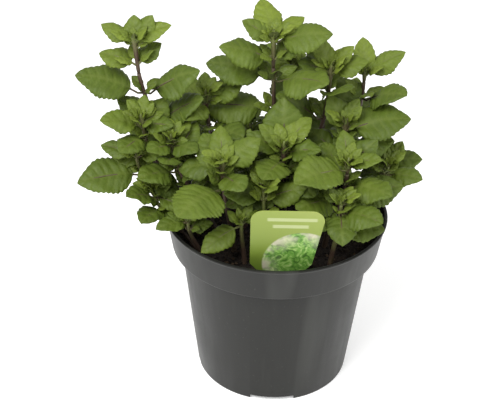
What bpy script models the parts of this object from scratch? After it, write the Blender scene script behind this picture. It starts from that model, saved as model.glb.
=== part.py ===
"""Potted mint plant: a round nursery pot, its potting compost, a plant label, and a mint plant.

Lengths in the design tables are millimetres and angles are degrees; meshes are in metres, +Z up.
The origin is the middle of the pot's standing plane, and the label faces -Y.
An azimuth is measured from +X towards +Y, and a pitch is measured up from the horizontal.
"""

import math

import bmesh
import bpy
from mathutils import Vector
from mathutils.bvhtree import BVHTree

MM = 0.001
GAP = 0.35                 # clearance kept between two pieces that touch

# ---- pot -------------------------------------------------------------------------------------
POT_STEPS = 48
RIM_RADIUS = 65.0
POT_HEIGHT = 106.0
FOOT_RADIUS = 46.0
FOOT_HEIGHT = 3.0
WALL = 1.2
BODY_TOP = (55.9, 84.6)    # outer radius and height where the body meets the collar
COLLAR_FOOT = (61.0, 85.2)
COLLAR_TOP = (64.2, 104.6)
PAD_RADIUS = 12.0
FLOOR_TOP = 4.4
FOOT_GAP_ANGLE = 45.0
DRAIN_RADIUS = 4.0
DRAIN_CIRCLE = 31.0
DRAIN_COUNT = 8

# ---- compost ---------------------------------------------------------------------------------
COMPOST_EDGE = 91.0
COMPOST_CROWN = 94.0
SOCKET_DEPTH = 7.0

# ---- label -----------------------------------------------------------------------------------
LABEL_THICKNESS = 0.6
LABEL_LEFT = -15.0
LABEL_RIGHT = 24.5
LABEL_SHOULDER_RIGHT = 19.0
LABEL_TOP = 141.0          # heights on the label are measured along it, from the standing plane
LABEL_SHOULDER = 104.0     # where the paddle starts to narrow to its stake
LABEL_STAKE_TIP = 48.0
LABEL_FOOT_Y = -38.5       # where the label's plane meets the standing plane
LABEL_LEAN = 7.5           # how far the label leans out over the rim
LABEL_CORNER = 7.0

# ---- plant -----------------------------------------------------------------------------------
STEM_FOOT_RADIUS = 1.7
STEM_TOP_RADIUS = 1.1
STEM_PIECES = 9
BLADE_WIDTH = 0.72         # width over length of a grown leaf
YOUNG_WIDTH = 0.60         # the same for a leaf of the crown
PETIOLE_SHARE = 0.14       # part of a leaf's length that is its stalk
PETIOLE_WIDTH = 1.3
BLADE_THICKNESS = 0.7
LEAF_STATIONS = (0.0, 0.14, 0.32, 0.58, 0.84, 1.0)
LEAF_BEND = 34.0           # how far a leaf's pitch falls from its base to its tip
LIGHT = Vector((0.0, -0.42, 1.0)).normalized()   # the way the blades turn their faces

# A shoot is its foot (x, y), its top (x, y, z), the number of its pairs that belong to its crown,
# and its pairs from the top down: the fraction of the stem's height, then two leaves, each given
# as (azimuth, pitch, length, roll).
SHOOTS = {
    "tall_left": ((-45, 12), (-81, 15, 203), 3, (
        (1.00, (160, 22, 20, 0), (10, 25, 21, 0)),
        (0.97, (95, 66, 18, 0), (35, 58, 20, 0)),
        (0.90, (160, 8, 22, 0), (20, 40, 17, 0)),
        (0.76, (180, 16, 35, 0), (-10, 30, 32, 0)),
        (0.60, (170, 34, 22, 0), (-15, 36, 30, 0)),
        (0.44, (150, 20, 26, 0), (-30, 24, 28, 0)))),
    "tall_middle": ((2, 22), (-4, 25, 203), 3, (
        (1.00, (108, 32, 26, 0), (35, 22, 21, 0)),
        (0.98, (165, 32, 20, 0), (-10, 14, 32, 0)),
        (0.90, (-174, 16, 30, 0), (15, 34, 20, 0)),
        (0.80, (170, 10, 35, 0), (-40, 15, 35, 0)),
        (0.62, (-178, 1, 37, 0), (60, 20, 30, 0)),
        (0.44, (-110, 10, 30, 0), (80, 16, 30, 0)))),
    "tall_right": ((14, 22), (29, 22, 186), 3, (
        (1.00, (138, 54, 20, 0), (20, 45, 17, 0)),
        (0.97, (166, 24, 19, 0), (0, 24, 21, 0)),
        (0.86, (-70, 28, 26, 0), (110, 45, 30, 0)),
        (0.70, (-164, 34, 30, 0), (25, 42, 26, 0)),
        (0.48, (-100, 16, 30, 0), (70, 16, 28, 0)))),
    "far_right": ((34, 28), (49, 30, 179), 1, (
        (1.00, (95, 56, 21, 0), (5, 33, 25, 0)),
        (0.86, (-45, 24, 30, 0), (150, 40, 17, 0)),
        (0.62, (60, 24, 26, 0), (-110, 20, 24, 0)))),
    "middle_right": ((28, 4), (38, 5, 160), 3, (
        (1.00, (40, 58, 15, 0), (135, 36, 13, 0)),
        (0.95, (0, 20, 35, 0), (140, 54, 21, 0)),
        (0.86, (-80, 14, 22, 0), (70, 40, 22, 0)),
        (0.74, (-8, 26, 27, 0), (150, 26, 22, 0)))),
    "front_left": ((-24, -24), (-31, -28, 151), 3, (
        (1.00, (95, 38, 22, 0), (-140, 30, 14, 0)),
        (0.97, (30, 28, 25, 0), (165, -12, 24, 0)),
        (0.90, (-60, 6, 22, 0), (120, 34, 26, 0)),
        (0.78, (-122, 4, 38, 0), (35, -10, 26, 0)))),
    "front_middle": ((5, -8), (3, -8, 151), 3, (
        (1.00, (40, 34, 22, 0), (155, 36, 18, 0)),
        (0.95, (165, 22, 22, 0), (-22, 18, 21, 0)),
        (0.88, (-114, 6, 28, 0), (92, 60, 34, 0)),
        (0.76, (-60, 2, 28, 0), (130, 30, 28, 0)),
        (0.64, (-145, 2, 34, 0), (-15, 14, 30, 0)))),
    "front_right": ((28, -18), (38, -22, 149), 2, (
        (1.00, (100, 44, 19, 0), (-25, 22, 19, 0)),
        (0.95, (-146, 4, 34, 0), (20, 38, 22, 0)),
        (0.80, (-40, 10, 27, 0), (115, 30, 26, 0)),
        (0.62, (-150, 10, 28, 0), (2, 16, 31, 0)))),
    "middle_left": ((-42, -2), (-77, 0, 163), 3, (
        (1.00, (120, 26, 15, 0), (65, 30, 13, 0)),
        (0.96, (-160, 16, 23, 0), (-20, 10, 18, 0)),
        (0.87, (-120, 2, 22, 0), (55, 44, 24, 0)),
        (0.66, (165, 10, 26, 0), (-25, 16, 26, 0)))),
    "inner_left": ((-34, -8), (-60, -8, 155), 3, (
        (1.00, (60, 24, 18, 0), (130, 28, 13, 0)),
        (0.95, (-45, 12, 20, 0), (-130, 12, 18, 0)),
        (0.84, (50, 40, 23, 0), (-100, 20, 20, 0)),
        (0.72, (-48, 24, 28, 0), (-140, 10, 24, 0)),
        (0.52, (20, 10, 28, 0), (-170, 6, 24, 0)))),
    "back_left": ((-24, 20), (-42, 22, 168), 2, (
        (1.00, (95, 34, 15, 0), (30, 20, 15, 0)),
        (0.95, (-118, 20, 23, 0), (15, 30, 24, 0)),
        (0.75, (146, 4, 28, 0), (-50, 14, 27, 0)))),
    "back_middle": ((6, 44), (8, 58, 172), 2, (
        (1.00, (80, 40, 20, 0), (-130, 36, 18, 0)),
        (0.94, (150, 22, 28, 0), (-20, 20, 27, 0)),
        (0.72, (60, 12, 32, 0), (-165, 14, 30, 0)))),
}
# The same for the short shoots, each of which is one piece with its leaves.
SIDE_SHOOTS = {
    "side_right": ((44, -2), (63, 0, 136), (
        (1.00, (55, 34, 17, 0), (140, 40, 13, 0)),
        (0.90, (-32, 10, 21, 0), (150, -16, 16, 0)),
        (0.70, (60, 10, 22, 0), (-120, 4, 20, 0)))),
    "side_left": ((-46, -6), (-80, -5, 142), (
        (1.00, (160, 8, 21, 0), (10, 14, 19, 0)),
        (0.80, (-168, -3, 35, 0), (50, 26, 22, 0)))),
    "low_left": ((-46, -22), (-70, -15, 126), (
        (1.00, (72, 40, 14, 0), (160, 30, 12, 0)),
        (0.90, (-134, 24, 21, 0), (-20, 32, 18, 0)),
        (0.72, (-114, 6, 21, 0), (35, -8, 20, 0)))),
    "rim_left": ((-43, -27), (-50, -30, 115), (
        (1.00, (-145, 6, 19, 0), (66, 10, 15, 0)),
        (0.78, (146, 20, 21, 0), (0, 22, 13, 0)))),
    "front_sprout": ((-18, -36), (-20, -38, 120), (
        (0.95, (-154, -26, 25, 0), (50, 0, 17, 0)),)),
    "label_sprout": ((30, -38), (34, -40, 134), (
        (1.00, (20, -6, 15, 0), (130, 10, 13, 0)),
        (0.90, (-90, -14, 23, 0), (-40, 10, 26, 0)),
        (0.66, (-10, 6, 24, 0), (160, 10, 20, 0)))),
    "low_front": ((-6, -28), (-8, -31, 137), (
        (1.00, (110, 34, 17, 0), (-60, 30, 14, 0)),
        (0.88, (5, 14, 23, 0), (180, 10, 21, 0)),
        (0.68, (-80, -6, 23, 0), (100, 8, 22, 0)))),
    "low_middle": ((18, 4), (19, 0, 140), (
        (1.00, (75, 34, 20, 0), (-100, 26, 16, 0)),
        (0.88, (170, 14, 24, 0), (-10, 14, 24, 0)),
        (0.66, (-70, 4, 25, 0), (110, 10, 25, 0)))),
    "low_inner": ((-18, 0), (-19, -2, 146), (
        (1.00, (115, 34, 20, 0), (-70, 26, 16, 0)),
        (0.88, (-160, 10, 25, 0), (20, 14, 25, 0)),
        (0.66, (-90, 0, 25, 0), (80, 8, 25, 0)))),
    "low_right": ((46, 18), (60, 20, 134), (
        (1.00, (95, 34, 18, 0), (-75, 26, 15, 0)),
        (0.84, (-5, 12, 25, 0), (170, 14, 22, 0)),
        (0.62, (70, 8, 24, 0), (-100, 2, 20, 0)))),
    "back_left_side": ((-34, 36), (-50, 52, 148), (
        (1.00, (100, 30, 20, 0), (-60, 40, 16, 0)),
        (0.86, (175, 16, 27, 0), (20, 20, 24, 0)),
        (0.62, (110, 8, 28, 0), (-120, 10, 22, 0)))),
    "back_right_side": ((32, 42), (46, 56, 146), (
        (1.00, (80, 34, 20, 0), (-110, 40, 16, 0)),
        (0.86, (160, 14, 25, 0), (0, 18, 27, 0)),
        (0.62, (75, 6, 28, 0), (-60, 12, 22, 0)))),
    "back_sprout": ((-8, 50), (-16, 60, 132), (
        (1.00, (90, 22, 22, 0), (-60, 34, 15, 0)),
        (0.82, (150, 10, 24, 0), (20, 12, 24, 0)),
        (0.58, (-110, 8, 22, 0), (80, 6, 25, 0)))),
}


# ---- materials and scene -----------------------------------------------------------------------
def clear_scene():
    for obj in list(bpy.data.objects):
        bpy.data.objects.remove(obj, do_unlink=True)


def new_collection(name):
    collection = bpy.data.collections.new(name)
    bpy.context.scene.collection.children.link(collection)
    return collection


def new_material(name, colour, roughness, metallic=0.0):
    material = bpy.data.materials.new(name)
    material.use_nodes = True
    shader = material.node_tree.nodes["Principled BSDF"]
    shader.inputs["Base Color"].default_value = (*colour, 1.0)
    shader.inputs["Roughness"].default_value = roughness
    shader.inputs["Metallic"].default_value = metallic
    material.diffuse_color = (*colour, 1.0)
    return material


def new_object(name, mesh, collection, material=None):
    obj = bpy.data.objects.new(name, mesh)
    collection.objects.link(obj)
    if material:
        mesh.materials.append(material)
    return obj


def hide_helper(obj):
    obj.hide_render = True
    obj.display_type = "WIRE"
    return obj


def add_boolean(obj, other, operation):
    modifier = obj.modifiers.new(f"{operation.lower()}_{other.name}", "BOOLEAN")
    modifier.operation = operation
    modifier.solver = "EXACT"
    modifier.object = other
    return modifier


def add_screw(obj, steps):
    screw = obj.modifiers.new("turn", "SCREW")
    screw.steps = steps
    screw.render_steps = steps
    screw.use_merge_vertices = True
    screw.merge_threshold = 0.00001
    screw.use_smooth_shade = True
    return screw


def profile_object(name, points, collection, material):
    """A turned shape: its outline in (radius, height), given down the outer side."""
    mesh = bpy.data.meshes.new(name)
    corners = [(radius * MM, 0.0, height * MM) for radius, height in points]
    mesh.from_pydata(corners, [(i, i + 1) for i in range(len(corners) - 1)], [])
    obj = new_object(name, mesh, collection, material)
    add_screw(obj, POT_STEPS)
    return obj


# ---- pot, compost and label ----------------------------------------------------------------------
def pot_inner_wall():
    """The inside of the pot, from the floor up, as (radius, height)."""
    slope = (BODY_TOP[0] - FOOT_RADIUS) / BODY_TOP[1]
    floor_radius = FOOT_RADIUS + slope * FLOOR_TOP - WALL
    return [
        (floor_radius, FLOOR_TOP),
        (BODY_TOP[0] - WALL, BODY_TOP[1] + 1.6),
        (COLLAR_FOOT[0] - 1.4, COLLAR_FOOT[1] + 1.6),
        (COLLAR_TOP[0] - 1.2, COLLAR_TOP[1]),
    ]


def build_pot(collection, helpers, material):
    inner = pot_inner_wall()
    outline = [(0.0, FLOOR_TOP), *inner, (COLLAR_TOP[0] - 1.2, POT_HEIGHT)]
    outline += [(RIM_RADIUS - 0.3, POT_HEIGHT), (RIM_RADIUS, POT_HEIGHT - 0.4)]
    outline += [(RIM_RADIUS, COLLAR_TOP[1] + 0.4), COLLAR_TOP, COLLAR_FOOT, BODY_TOP]
    outline += [(FOOT_RADIUS, 0.0), (FOOT_RADIUS - 1.6, 0.0), (FOOT_RADIUS - 1.6, FOOT_HEIGHT)]
    outline += [(PAD_RADIUS + 1.0, FOOT_HEIGHT), (PAD_RADIUS, 0.0), (0.0, 0.0)]
    pot = profile_object("pot", outline, collection, material)
    for index in range(4):
        gap = foot_gap_cutter(index, helpers)
        add_boolean(pot, gap, "DIFFERENCE")
    for index in range(DRAIN_COUNT):
        angle = math.radians(22.5 + index * 360.0 / DRAIN_COUNT)
        drain = cylinder_helper(f"drain_cutter_{index + 1}", DRAIN_RADIUS, 0.5, 6.0, 12, helpers)
        drain.location = (DRAIN_CIRCLE * MM * math.cos(angle), DRAIN_CIRCLE * MM * math.sin(angle), 0)
        add_boolean(pot, drain, "DIFFERENCE")
    return pot


def foot_gap_cutter(index, helpers):
    """A wedge that opens the foot ring at one side of the pot."""
    half = math.radians(FOOT_GAP_ANGLE / 2)
    near, far = FOOT_RADIUS - 4.0, FOOT_RADIUS + 4.0
    corners = [(near, -half), (far, -half), (far, half), (near, half)]
    outline = [(r * math.cos(a) * MM, r * math.sin(a) * MM) for r, a in corners]
    mesh = bpy.data.meshes.new(f"foot_gap_cutter_{index + 1}")
    shape = bmesh.new()
    low = [shape.verts.new((x, y, -2.0 * MM)) for x, y in outline]
    shape.faces.new(low)
    top = bmesh.ops.extrude_face_region(shape, geom=list(shape.faces))
    raised = [item for item in top["geom"] if isinstance(item, bmesh.types.BMVert)]
    bmesh.ops.translate(shape, verts=raised, vec=(0.0, 0.0, (FOOT_HEIGHT + 1.75) * MM))
    bmesh.ops.recalc_face_normals(shape, faces=list(shape.faces))
    shape.to_mesh(mesh)
    shape.free()
    cutter = hide_helper(new_object(mesh.name, mesh, helpers))
    cutter.rotation_euler.z = math.radians(90.0 * index)
    return cutter


def cylinder_helper(name, radius, low, high, sides, helpers):
    mesh = bpy.data.meshes.new(name)
    shape = bmesh.new()
    bmesh.ops.create_cone(shape, cap_ends=True, segments=sides, radius1=radius * MM,
                          radius2=radius * MM, depth=(high - low) * MM)
    bmesh.ops.translate(shape, verts=list(shape.verts), vec=(0.0, 0.0, (low + high) / 2 * MM))
    shape.to_mesh(mesh)
    shape.free()
    return hide_helper(new_object(name, mesh, helpers))


def compost_height(x, y):
    """The compost's surface: highest in the middle, lowest at the pot's wall."""
    share = min(1.0, math.hypot(x, y) / 60.0)
    return COMPOST_CROWN - (COMPOST_CROWN - COMPOST_EDGE) * share ** 2


def build_compost(collection, helpers, material, feet, label_cutter):
    floor, corner, ledge, rim = pot_inner_wall()
    rise = (COMPOST_EDGE - ledge[1]) / (rim[1] - ledge[1])
    edge_radius = ledge[0] + (rim[0] - ledge[0]) * rise - GAP
    outline = [(0.0, COMPOST_CROWN), (30.0, compost_height(30.0, 0.0)), (edge_radius, COMPOST_EDGE)]
    outline += [(ledge[0] - GAP, ledge[1] + GAP), (corner[0] - GAP, corner[1] + GAP)]
    outline += [(floor[0] - GAP, floor[1] + GAP), (0.0, floor[1] + GAP)]
    compost = profile_object("potting_compost", outline, collection, material)
    for name, (x, y) in feet.items():
        low = compost_height(x, y) - SOCKET_DEPTH - GAP
        socket = cylinder_helper(f"socket_{name}", STEM_FOOT_RADIUS + 0.5, low, 100.0, 8, helpers)
        socket.location = (x * MM, y * MM, 0.0)
        add_boolean(compost, socket, "DIFFERENCE")
    add_boolean(compost, label_cutter, "DIFFERENCE")
    return compost


def label_outline(spread):
    """The label's outline in (x, z), every side moved out by spread."""
    corner = LABEL_CORNER
    left, right, top = LABEL_LEFT - spread, LABEL_RIGHT + spread, LABEL_TOP + spread
    middle = (LABEL_LEFT + LABEL_SHOULDER_RIGHT) / 2
    points = [(left, LABEL_SHOULDER), (middle - 5.5 - spread, LABEL_SHOULDER - 14.0)]
    points += [(middle - 4.5 - spread, LABEL_STAKE_TIP + 8.0), (middle, LABEL_STAKE_TIP - spread)]
    points += [(middle + 4.5 + spread, LABEL_STAKE_TIP + 8.0)]
    points += [(middle + 5.5 + spread, LABEL_SHOULDER - 14.0)]
    points += [(LABEL_SHOULDER_RIGHT + spread, LABEL_SHOULDER)]
    for start, x, z in ((0, right - corner, top - corner), (90, left + corner, top - corner)):
        for step in range(4):
            angle = math.radians(start + 30 * step)
            points.append((x + corner * math.cos(angle), z + corner * math.sin(angle)))
    return points


def label_solid(name, spread, thickness, collection, material=None):
    """The label as a flat outline extruded to its thickness, turned upright."""
    curve = bpy.data.curves.new(name, "CURVE")
    curve.dimensions = "2D"
    curve.fill_mode = "BOTH"
    curve.extrude = thickness / 2 * MM
    points = label_outline(spread)
    spline = curve.splines.new("POLY")
    spline.points.add(len(points) - 1)
    for point, (x, z) in zip(spline.points, points):
        point.co = (x * MM, z * MM, 0.0, 1.0)
    spline.use_cyclic_u = True
    obj = bpy.data.objects.new(name, curve)
    collection.objects.link(obj)
    obj.rotation_euler.x = math.radians(90 + LABEL_LEAN)
    obj.location.y = LABEL_FOOT_Y * MM
    return curve_to_mesh(obj, collection, material)


def curve_to_mesh(source, collection, material=None):
    """Replaces a curve object by a closed mesh object with the same name and place."""
    bpy.context.view_layer.update()
    graph = bpy.context.evaluated_depsgraph_get()
    mesh = bpy.data.meshes.new_from_object(source.evaluated_get(graph))
    shape = bmesh.new()
    shape.from_mesh(mesh)
    bmesh.ops.remove_doubles(shape, verts=list(shape.verts), dist=0.00001)
    bmesh.ops.recalc_face_normals(shape, faces=list(shape.faces))
    shape.to_mesh(mesh)
    shape.free()
    name, place, curve = source.name, source.matrix_world.copy(), source.data
    bpy.data.objects.remove(source)
    bpy.data.curves.remove(curve)
    mesh.name = name
    obj = new_object(name, mesh, collection, material)
    obj.matrix_world = place
    return obj


# ---- stems and leaves: where they go -------------------------------------------------------------
def stem_point(foot, top, share):
    """A point of a stem: it leaves the compost leaning out, and turns up towards its top."""
    start = Vector((foot[0], foot[1], compost_height(*foot)))
    reach = Vector(top) - start
    lean = start + Vector((reach.x * 0.25, reach.y * 0.25, reach.z * 0.35))
    turn = start + Vector((reach.x * 0.97, reach.y * 0.97, reach.z * 0.58))
    rest = 1.0 - share
    return (rest ** 3 * start + 3 * rest ** 2 * share * lean
            + 3 * rest * share ** 2 * turn + share ** 3 * Vector(top))


def stem_radius(share):
    return STEM_FOOT_RADIUS + (STEM_TOP_RADIUS - STEM_FOOT_RADIUS) * share


def stem_stations(foot, top, end):
    """Points and radii of a stem from the bottom of its socket to the given share of its height."""
    surface = stem_point(foot, top, 0.0)
    stations = [(surface - Vector((0.0, 0.0, SOCKET_DEPTH)), STEM_FOOT_RADIUS)]
    stations.append((surface + Vector((0.0, 0.0, 0.6)), STEM_FOOT_RADIUS))
    for index in range(1, STEM_PIECES):
        share = end * index / (STEM_PIECES - 1)
        stations.append((stem_point(foot, top, share), stem_radius(share)))
    return stations


def heading(azimuth, pitch):
    turn, rise = math.radians(azimuth), math.radians(pitch)
    return Vector((math.cos(rise) * math.cos(turn), math.cos(rise) * math.sin(turn), math.sin(rise)))


def blade_half_width(share, length, ratio):
    """Half the width of an ovate leaf at a share of its length; the first part is its stalk."""
    along = max(0.0, (share - PETIOLE_SHARE) / (1.0 - PETIOLE_SHARE))
    blade = 2.4 * along ** 0.50 * (1.0 - along) ** 0.80
    return max(PETIOLE_WIDTH / 2, length * (1.0 - PETIOLE_SHARE) * ratio / 2 * blade)


def leaf_frames(base, leaf, ratio, shares):
    """The leaf's centre, side and face directions and half width at each share of its length."""
    azimuth, pitch, length, roll = leaf
    frames = []
    centre = Vector(base)
    last = 0.0
    for share in shares:
        middle = (last + share) / 2
        centre = centre + heading(azimuth, pitch + LEAF_BEND * (0.5 - middle)) * length * (share - last)
        last = share
        along = heading(azimuth, pitch + LEAF_BEND * (0.5 - share))
        side = LIGHT.cross(along).normalized()
        face = along.cross(side)
        turn = math.radians(roll) * min(1.0, share / 0.3)
        side, face = (side * math.cos(turn) + face * math.sin(turn),
                      face * math.cos(turn) - side * math.sin(turn))
        frames.append((centre.copy(), side, face, blade_half_width(share, length, ratio)))
    return frames


def leaf_sections(base, leaf, ratio, extra=0.0):
    """Four corners for each station of a leaf's solid, from its base to its tip."""
    sections = []
    for share, (centre, side, face, half) in zip(
            LEAF_STATIONS, leaf_frames(base, leaf, ratio, LEAF_STATIONS)):
        thick = (BLADE_THICKNESS / 2 + extra) * (0.45 if share == 1.0 else 1.0)
        fold = 0.16 * (half - PETIOLE_WIDTH / 2)
        if share == 1.0:
            half = 0.5
        half += extra
        sections.append((centre + side * half + face * fold, centre + face * thick,
                         centre - side * half + face * fold, centre - face * thick))
    return sections


def loft(sections):
    """Vertices and faces of a closed solid through four-cornered sections."""
    corners = [corner for section in sections for corner in section]
    faces = []
    for index in range(len(sections) - 1):
        first, second = 4 * index, 4 * index + 4
        for side in range(4):
            after = (side + 1) % 4
            faces.append((first + side, first + after, second + after, second + side))
    faces.append((3, 2, 1, 0))
    last = 4 * (len(sections) - 1)
    faces.append((last, last + 1, last + 2, last + 3))
    return corners, faces


def stem_sections(stations, extra=0.0):
    sections = []
    for point, radius in stations:
        wide = radius + extra
        sections.append(tuple(point + Vector((wide * x, wide * y, 0.0))
                              for x, y in ((1, 0), (0, 1), (-1, 0), (0, -1))))
    return sections


def tree_of(sections):
    corners, faces = loft(sections)
    return BVHTree.FromPolygons(corners, faces)


def meets_pot(sections):
    """Whether a leaf comes too near the compost or the pot's collar."""
    for section in sections:
        for corner in section:
            radius = math.hypot(corner.x, corner.y)
            if corner.z < compost_height(corner.x, corner.y) + 1.0:
                return radius < RIM_RADIUS + 1.0
            if corner.z < POT_HEIGHT + 0.8 and RIM_RADIUS - 6.5 < radius < RIM_RADIUS + 1.0:
                return True
    return False


def turns():
    """Changes of azimuth and pitch to try, the smallest first."""
    steps = [(a * 8.0, p * 7.0) for a in range(-6, 7) for p in range(-6, 8)]
    return sorted(steps, key=lambda step: (step[0] ** 2 + step[1] ** 2, step))


def label_space():
    """The space that the label's paddle takes up, as a solid's sections."""
    left, right, half = LABEL_LEFT - 0.6, LABEL_RIGHT + 0.6, 0.7
    lean = math.radians(LABEL_LEAN)
    sections = []
    for along in (96.0, LABEL_TOP + 0.6):
        middle = LABEL_FOOT_Y - math.sin(lean) * along
        height = math.cos(lean) * along
        corners = ((left, -half), (right, -half), (right, half), (left, half))
        sections.append(tuple(Vector((x, middle + y, height)) for x, y in corners))
    return sections


class Thicket:
    """The space that the plant has taken up. A new leaf turns away from what is already there."""

    def __init__(self):
        self.taken = []
        self.taken.append(("label", tree_of(label_space())))

    def add_stem(self, shoot, stations):
        self.taken.append((f"stem_{shoot}", tree_of(stem_sections(stations, GAP))))

    def is_free(self, own, sections):
        tree = tree_of(sections)
        return not meets_pot(sections) and not any(
            other not in own and tree.overlap(obstacle) for other, obstacle in self.taken)

    def settle(self, shoot, owner, base, leaf, ratio):
        """The leaf as it grows there, turned or shortened until it touches nothing, or None."""
        own = (owner, f"stem_{shoot}")
        for shrink in (1.0, 0.88, 0.76, 0.64, 0.52, 0.40):
            for turn, lift in turns():
                azimuth, pitch, length, roll = leaf
                trial = (azimuth + turn, pitch + lift, length * shrink, roll)
                sections = leaf_sections(base, trial, ratio, GAP)
                if self.is_free(own, sections):
                    self.taken.append((owner, tree_of(leaf_sections(base, trial, ratio))))
                    return trial
        return None


def clasp_radius(share):
    """Distance from a stem's middle at which a pair of leaf stalks passes round it."""
    return stem_radius(share) + 1.3


def leaf_base(foot, top, share, azimuth):
    """Where a leaf's stalk starts, beside the stem."""
    outward = heading(azimuth, 0.0) * (clasp_radius(share) + 1.0)
    return stem_point(foot, top, share) + outward


def clasp_points(foot, top, share, first, second):
    """Points that lead round the stem from the first leaf's base to the second's."""
    way = (second - first + 180.0) % 360.0 - 180.0
    step = math.copysign(min(38.0, abs(way) / 3), way)
    centre = stem_point(foot, top, share)
    angles = (first + step, first + way / 2, first + way - step)
    return [centre + heading(angle, 0.0) * clasp_radius(share) for angle in angles]


def pair_sections(foot, top, share, pair, bases):
    """One solid through both leaves of a pair, round the stem from one tip to the other."""
    first, second = (leaf_sections(base, leaf, BLADE_WIDTH) for base, leaf in zip(bases, pair))
    flipped = [(c, b, a, d) for a, b, c, d in reversed(first)]
    middle = []
    points = [bases[0], *clasp_points(foot, top, share, pair[0][0], pair[1][0]), bases[1]]
    for before, point, after in zip(points, points[1:], points[2:]):
        along = (after - before).normalized()
        side = Vector((0.0, 0.0, 1.0)).cross(along).normalized() * PETIOLE_WIDTH / 2
        up = Vector((0.0, 0.0, BLADE_THICKNESS / 2))
        middle.append((point + side, point + up, point - side, point - up))
    return flipped + middle + second


# ---- stems and leaves: their solids --------------------------------------------------------------
def mesh_solid(name, sections, collection, material=None):
    corners, faces = loft(sections)
    mesh = bpy.data.meshes.new(name)
    mesh.from_pydata([corner * MM for corner in corners], [], faces)
    shape = bmesh.new()
    shape.from_mesh(mesh)
    bmesh.ops.triangulate(shape, faces=list(shape.faces))
    bmesh.ops.recalc_face_normals(shape, faces=list(shape.faces))
    shape.to_mesh(mesh)
    shape.free()
    return new_object(name, mesh, collection, material)


def stem_solid(name, stations, collection, material=None):
    """A square stem: a bevelled curve that thins towards its top."""
    curve = bpy.data.curves.new(name, "CURVE")
    curve.dimensions = "3D"
    curve.bevel_depth = MM
    curve.bevel_resolution = 0
    curve.use_fill_caps = True
    spline = curve.splines.new("POLY")
    spline.points.add(len(stations) - 1)
    for point, (place, radius) in zip(spline.points, stations):
        point.co = (*(place * MM), 1.0)
        point.radius = radius
    obj = bpy.data.objects.new(name, curve)
    collection.objects.link(obj)
    return curve_to_mesh(obj, collection, material)


def crossing_sections(centre, pair, bases, ratio):
    """One solid through both leaves of a pair that meet in the middle of the shoot."""
    first, second = (leaf_sections(base, leaf, ratio) for base, leaf in zip(bases, pair))
    flipped = [(c, b, a, d) for a, b, c, d in reversed(first)]
    return flipped + second


def join_leaves(core, name, centres, pairs, helpers):
    """Joins pairs of leaves to the stem or bud that carries them, as one piece."""
    for index, (centre, pair) in enumerate(zip(centres, pairs)):
        for side, (base, leaf) in enumerate(pair):
            stalk_start = centre - Vector((0.0, 0.0, 0.5))
            sections = leaf_sections(base, leaf, YOUNG_WIDTH if index == 0 else BLADE_WIDTH)
            across = sections[0]
            shift = stalk_start - (across[1] + across[3]) / 2
            sections.insert(0, tuple(corner + shift for corner in across))
            blade = mesh_solid(f"{name}_blade_{index + 1}_{'ab'[side]}", sections, helpers)
            hide_helper(blade)
            add_boolean(core, blade, "UNION")


def crown_stations(foot, top, low):
    """The young growing point above the last open pair: a short stem that ends in a bud."""
    start = stem_point(foot, top, low)
    tip = stem_point(foot, top, 1.0)
    along = (tip - start).normalized()
    return [(start + along * GAP, 1.0), (start + along * 2.0, 1.2), (tip, 1.5),
            (tip + along * 2.6, 1.3), (tip + along * 4.6, 0.4)]


def build_shoot(name, shoot, thicket, groups, materials):
    """One full shoot: its stem, its crown of young leaves, and its open pairs of leaves."""
    foot, top, crown_pairs, pairs = shoot
    parts, helpers = groups
    crown_low = pairs[crown_pairs - 1][0] - 0.04
    stem_solid(f"stem_{name}", stem_stations(foot, top, crown_low), parts, materials["stem"])
    crown = stem_solid(f"crown_{name}", crown_stations(foot, top, crown_low), parts, materials["young"])
    centres, settled = [], []
    for share, *pair in pairs[:crown_pairs]:
        centre = stem_point(foot, top, share)
        ratio = YOUNG_WIDTH if not centres else BLADE_WIDTH
        base_leaves = []
        for leaf in pair:
            base = centre + heading(leaf[0], 0.0) * 0.8
            grown = thicket.settle(name, f"crown_{name}", base, leaf, ratio)
            if grown:
                base_leaves.append((base, grown))
        centres.append(centre)
        settled.append(base_leaves)
    join_leaves(crown, name, centres, settled, helpers)
    for index, (share, *pair) in enumerate(pairs[crown_pairs:]):
        owner = f"leaves_{name}_{index + 1}"
        bases = [leaf_base(foot, top, share, leaf[0]) for leaf in pair]
        grown = [thicket.settle(name, owner, base, leaf, BLADE_WIDTH)
                 for base, leaf in zip(bases, pair)]
        if None in grown:
            continue
        sections = pair_sections(foot, top, share, grown, bases)
        mesh_solid(owner, sections, parts, materials["leaf"])


def build_side_shoot(name, shoot, thicket, groups, materials):
    """A short shoot that is one piece with its few leaves."""
    foot, top, pairs = shoot
    parts, helpers = groups
    owner = f"shoot_{name}"
    core = stem_solid(owner, stem_stations(foot, top, 1.0), parts, materials["young"])
    centres, settled = [], []
    for share, *pair in pairs:
        centre = stem_point(foot, top, share)
        ratio = YOUNG_WIDTH if not centres else BLADE_WIDTH
        base_leaves = []
        for leaf in pair:
            base = centre + heading(leaf[0], 0.0) * 0.8
            grown = thicket.settle(name, owner, base, leaf, ratio)
            if grown:
                base_leaves.append((base, grown))
        centres.append(centre)
        settled.append(base_leaves)
    join_leaves(core, name, centres, settled, helpers)


def build_plant(groups, materials):
    thicket = Thicket()
    for name, (foot, top, crown_pairs, pairs) in SHOOTS.items():
        thicket.add_stem(name, stem_stations(foot, top, 1.0))
    for name, (foot, top, pairs) in SIDE_SHOOTS.items():
        thicket.add_stem(name, stem_stations(foot, top, 1.0))
    for name, shoot in SHOOTS.items():
        build_shoot(name, shoot, thicket, groups, materials)
    for name, shoot in SIDE_SHOOTS.items():
        build_side_shoot(name, shoot, thicket, groups, materials)


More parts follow.
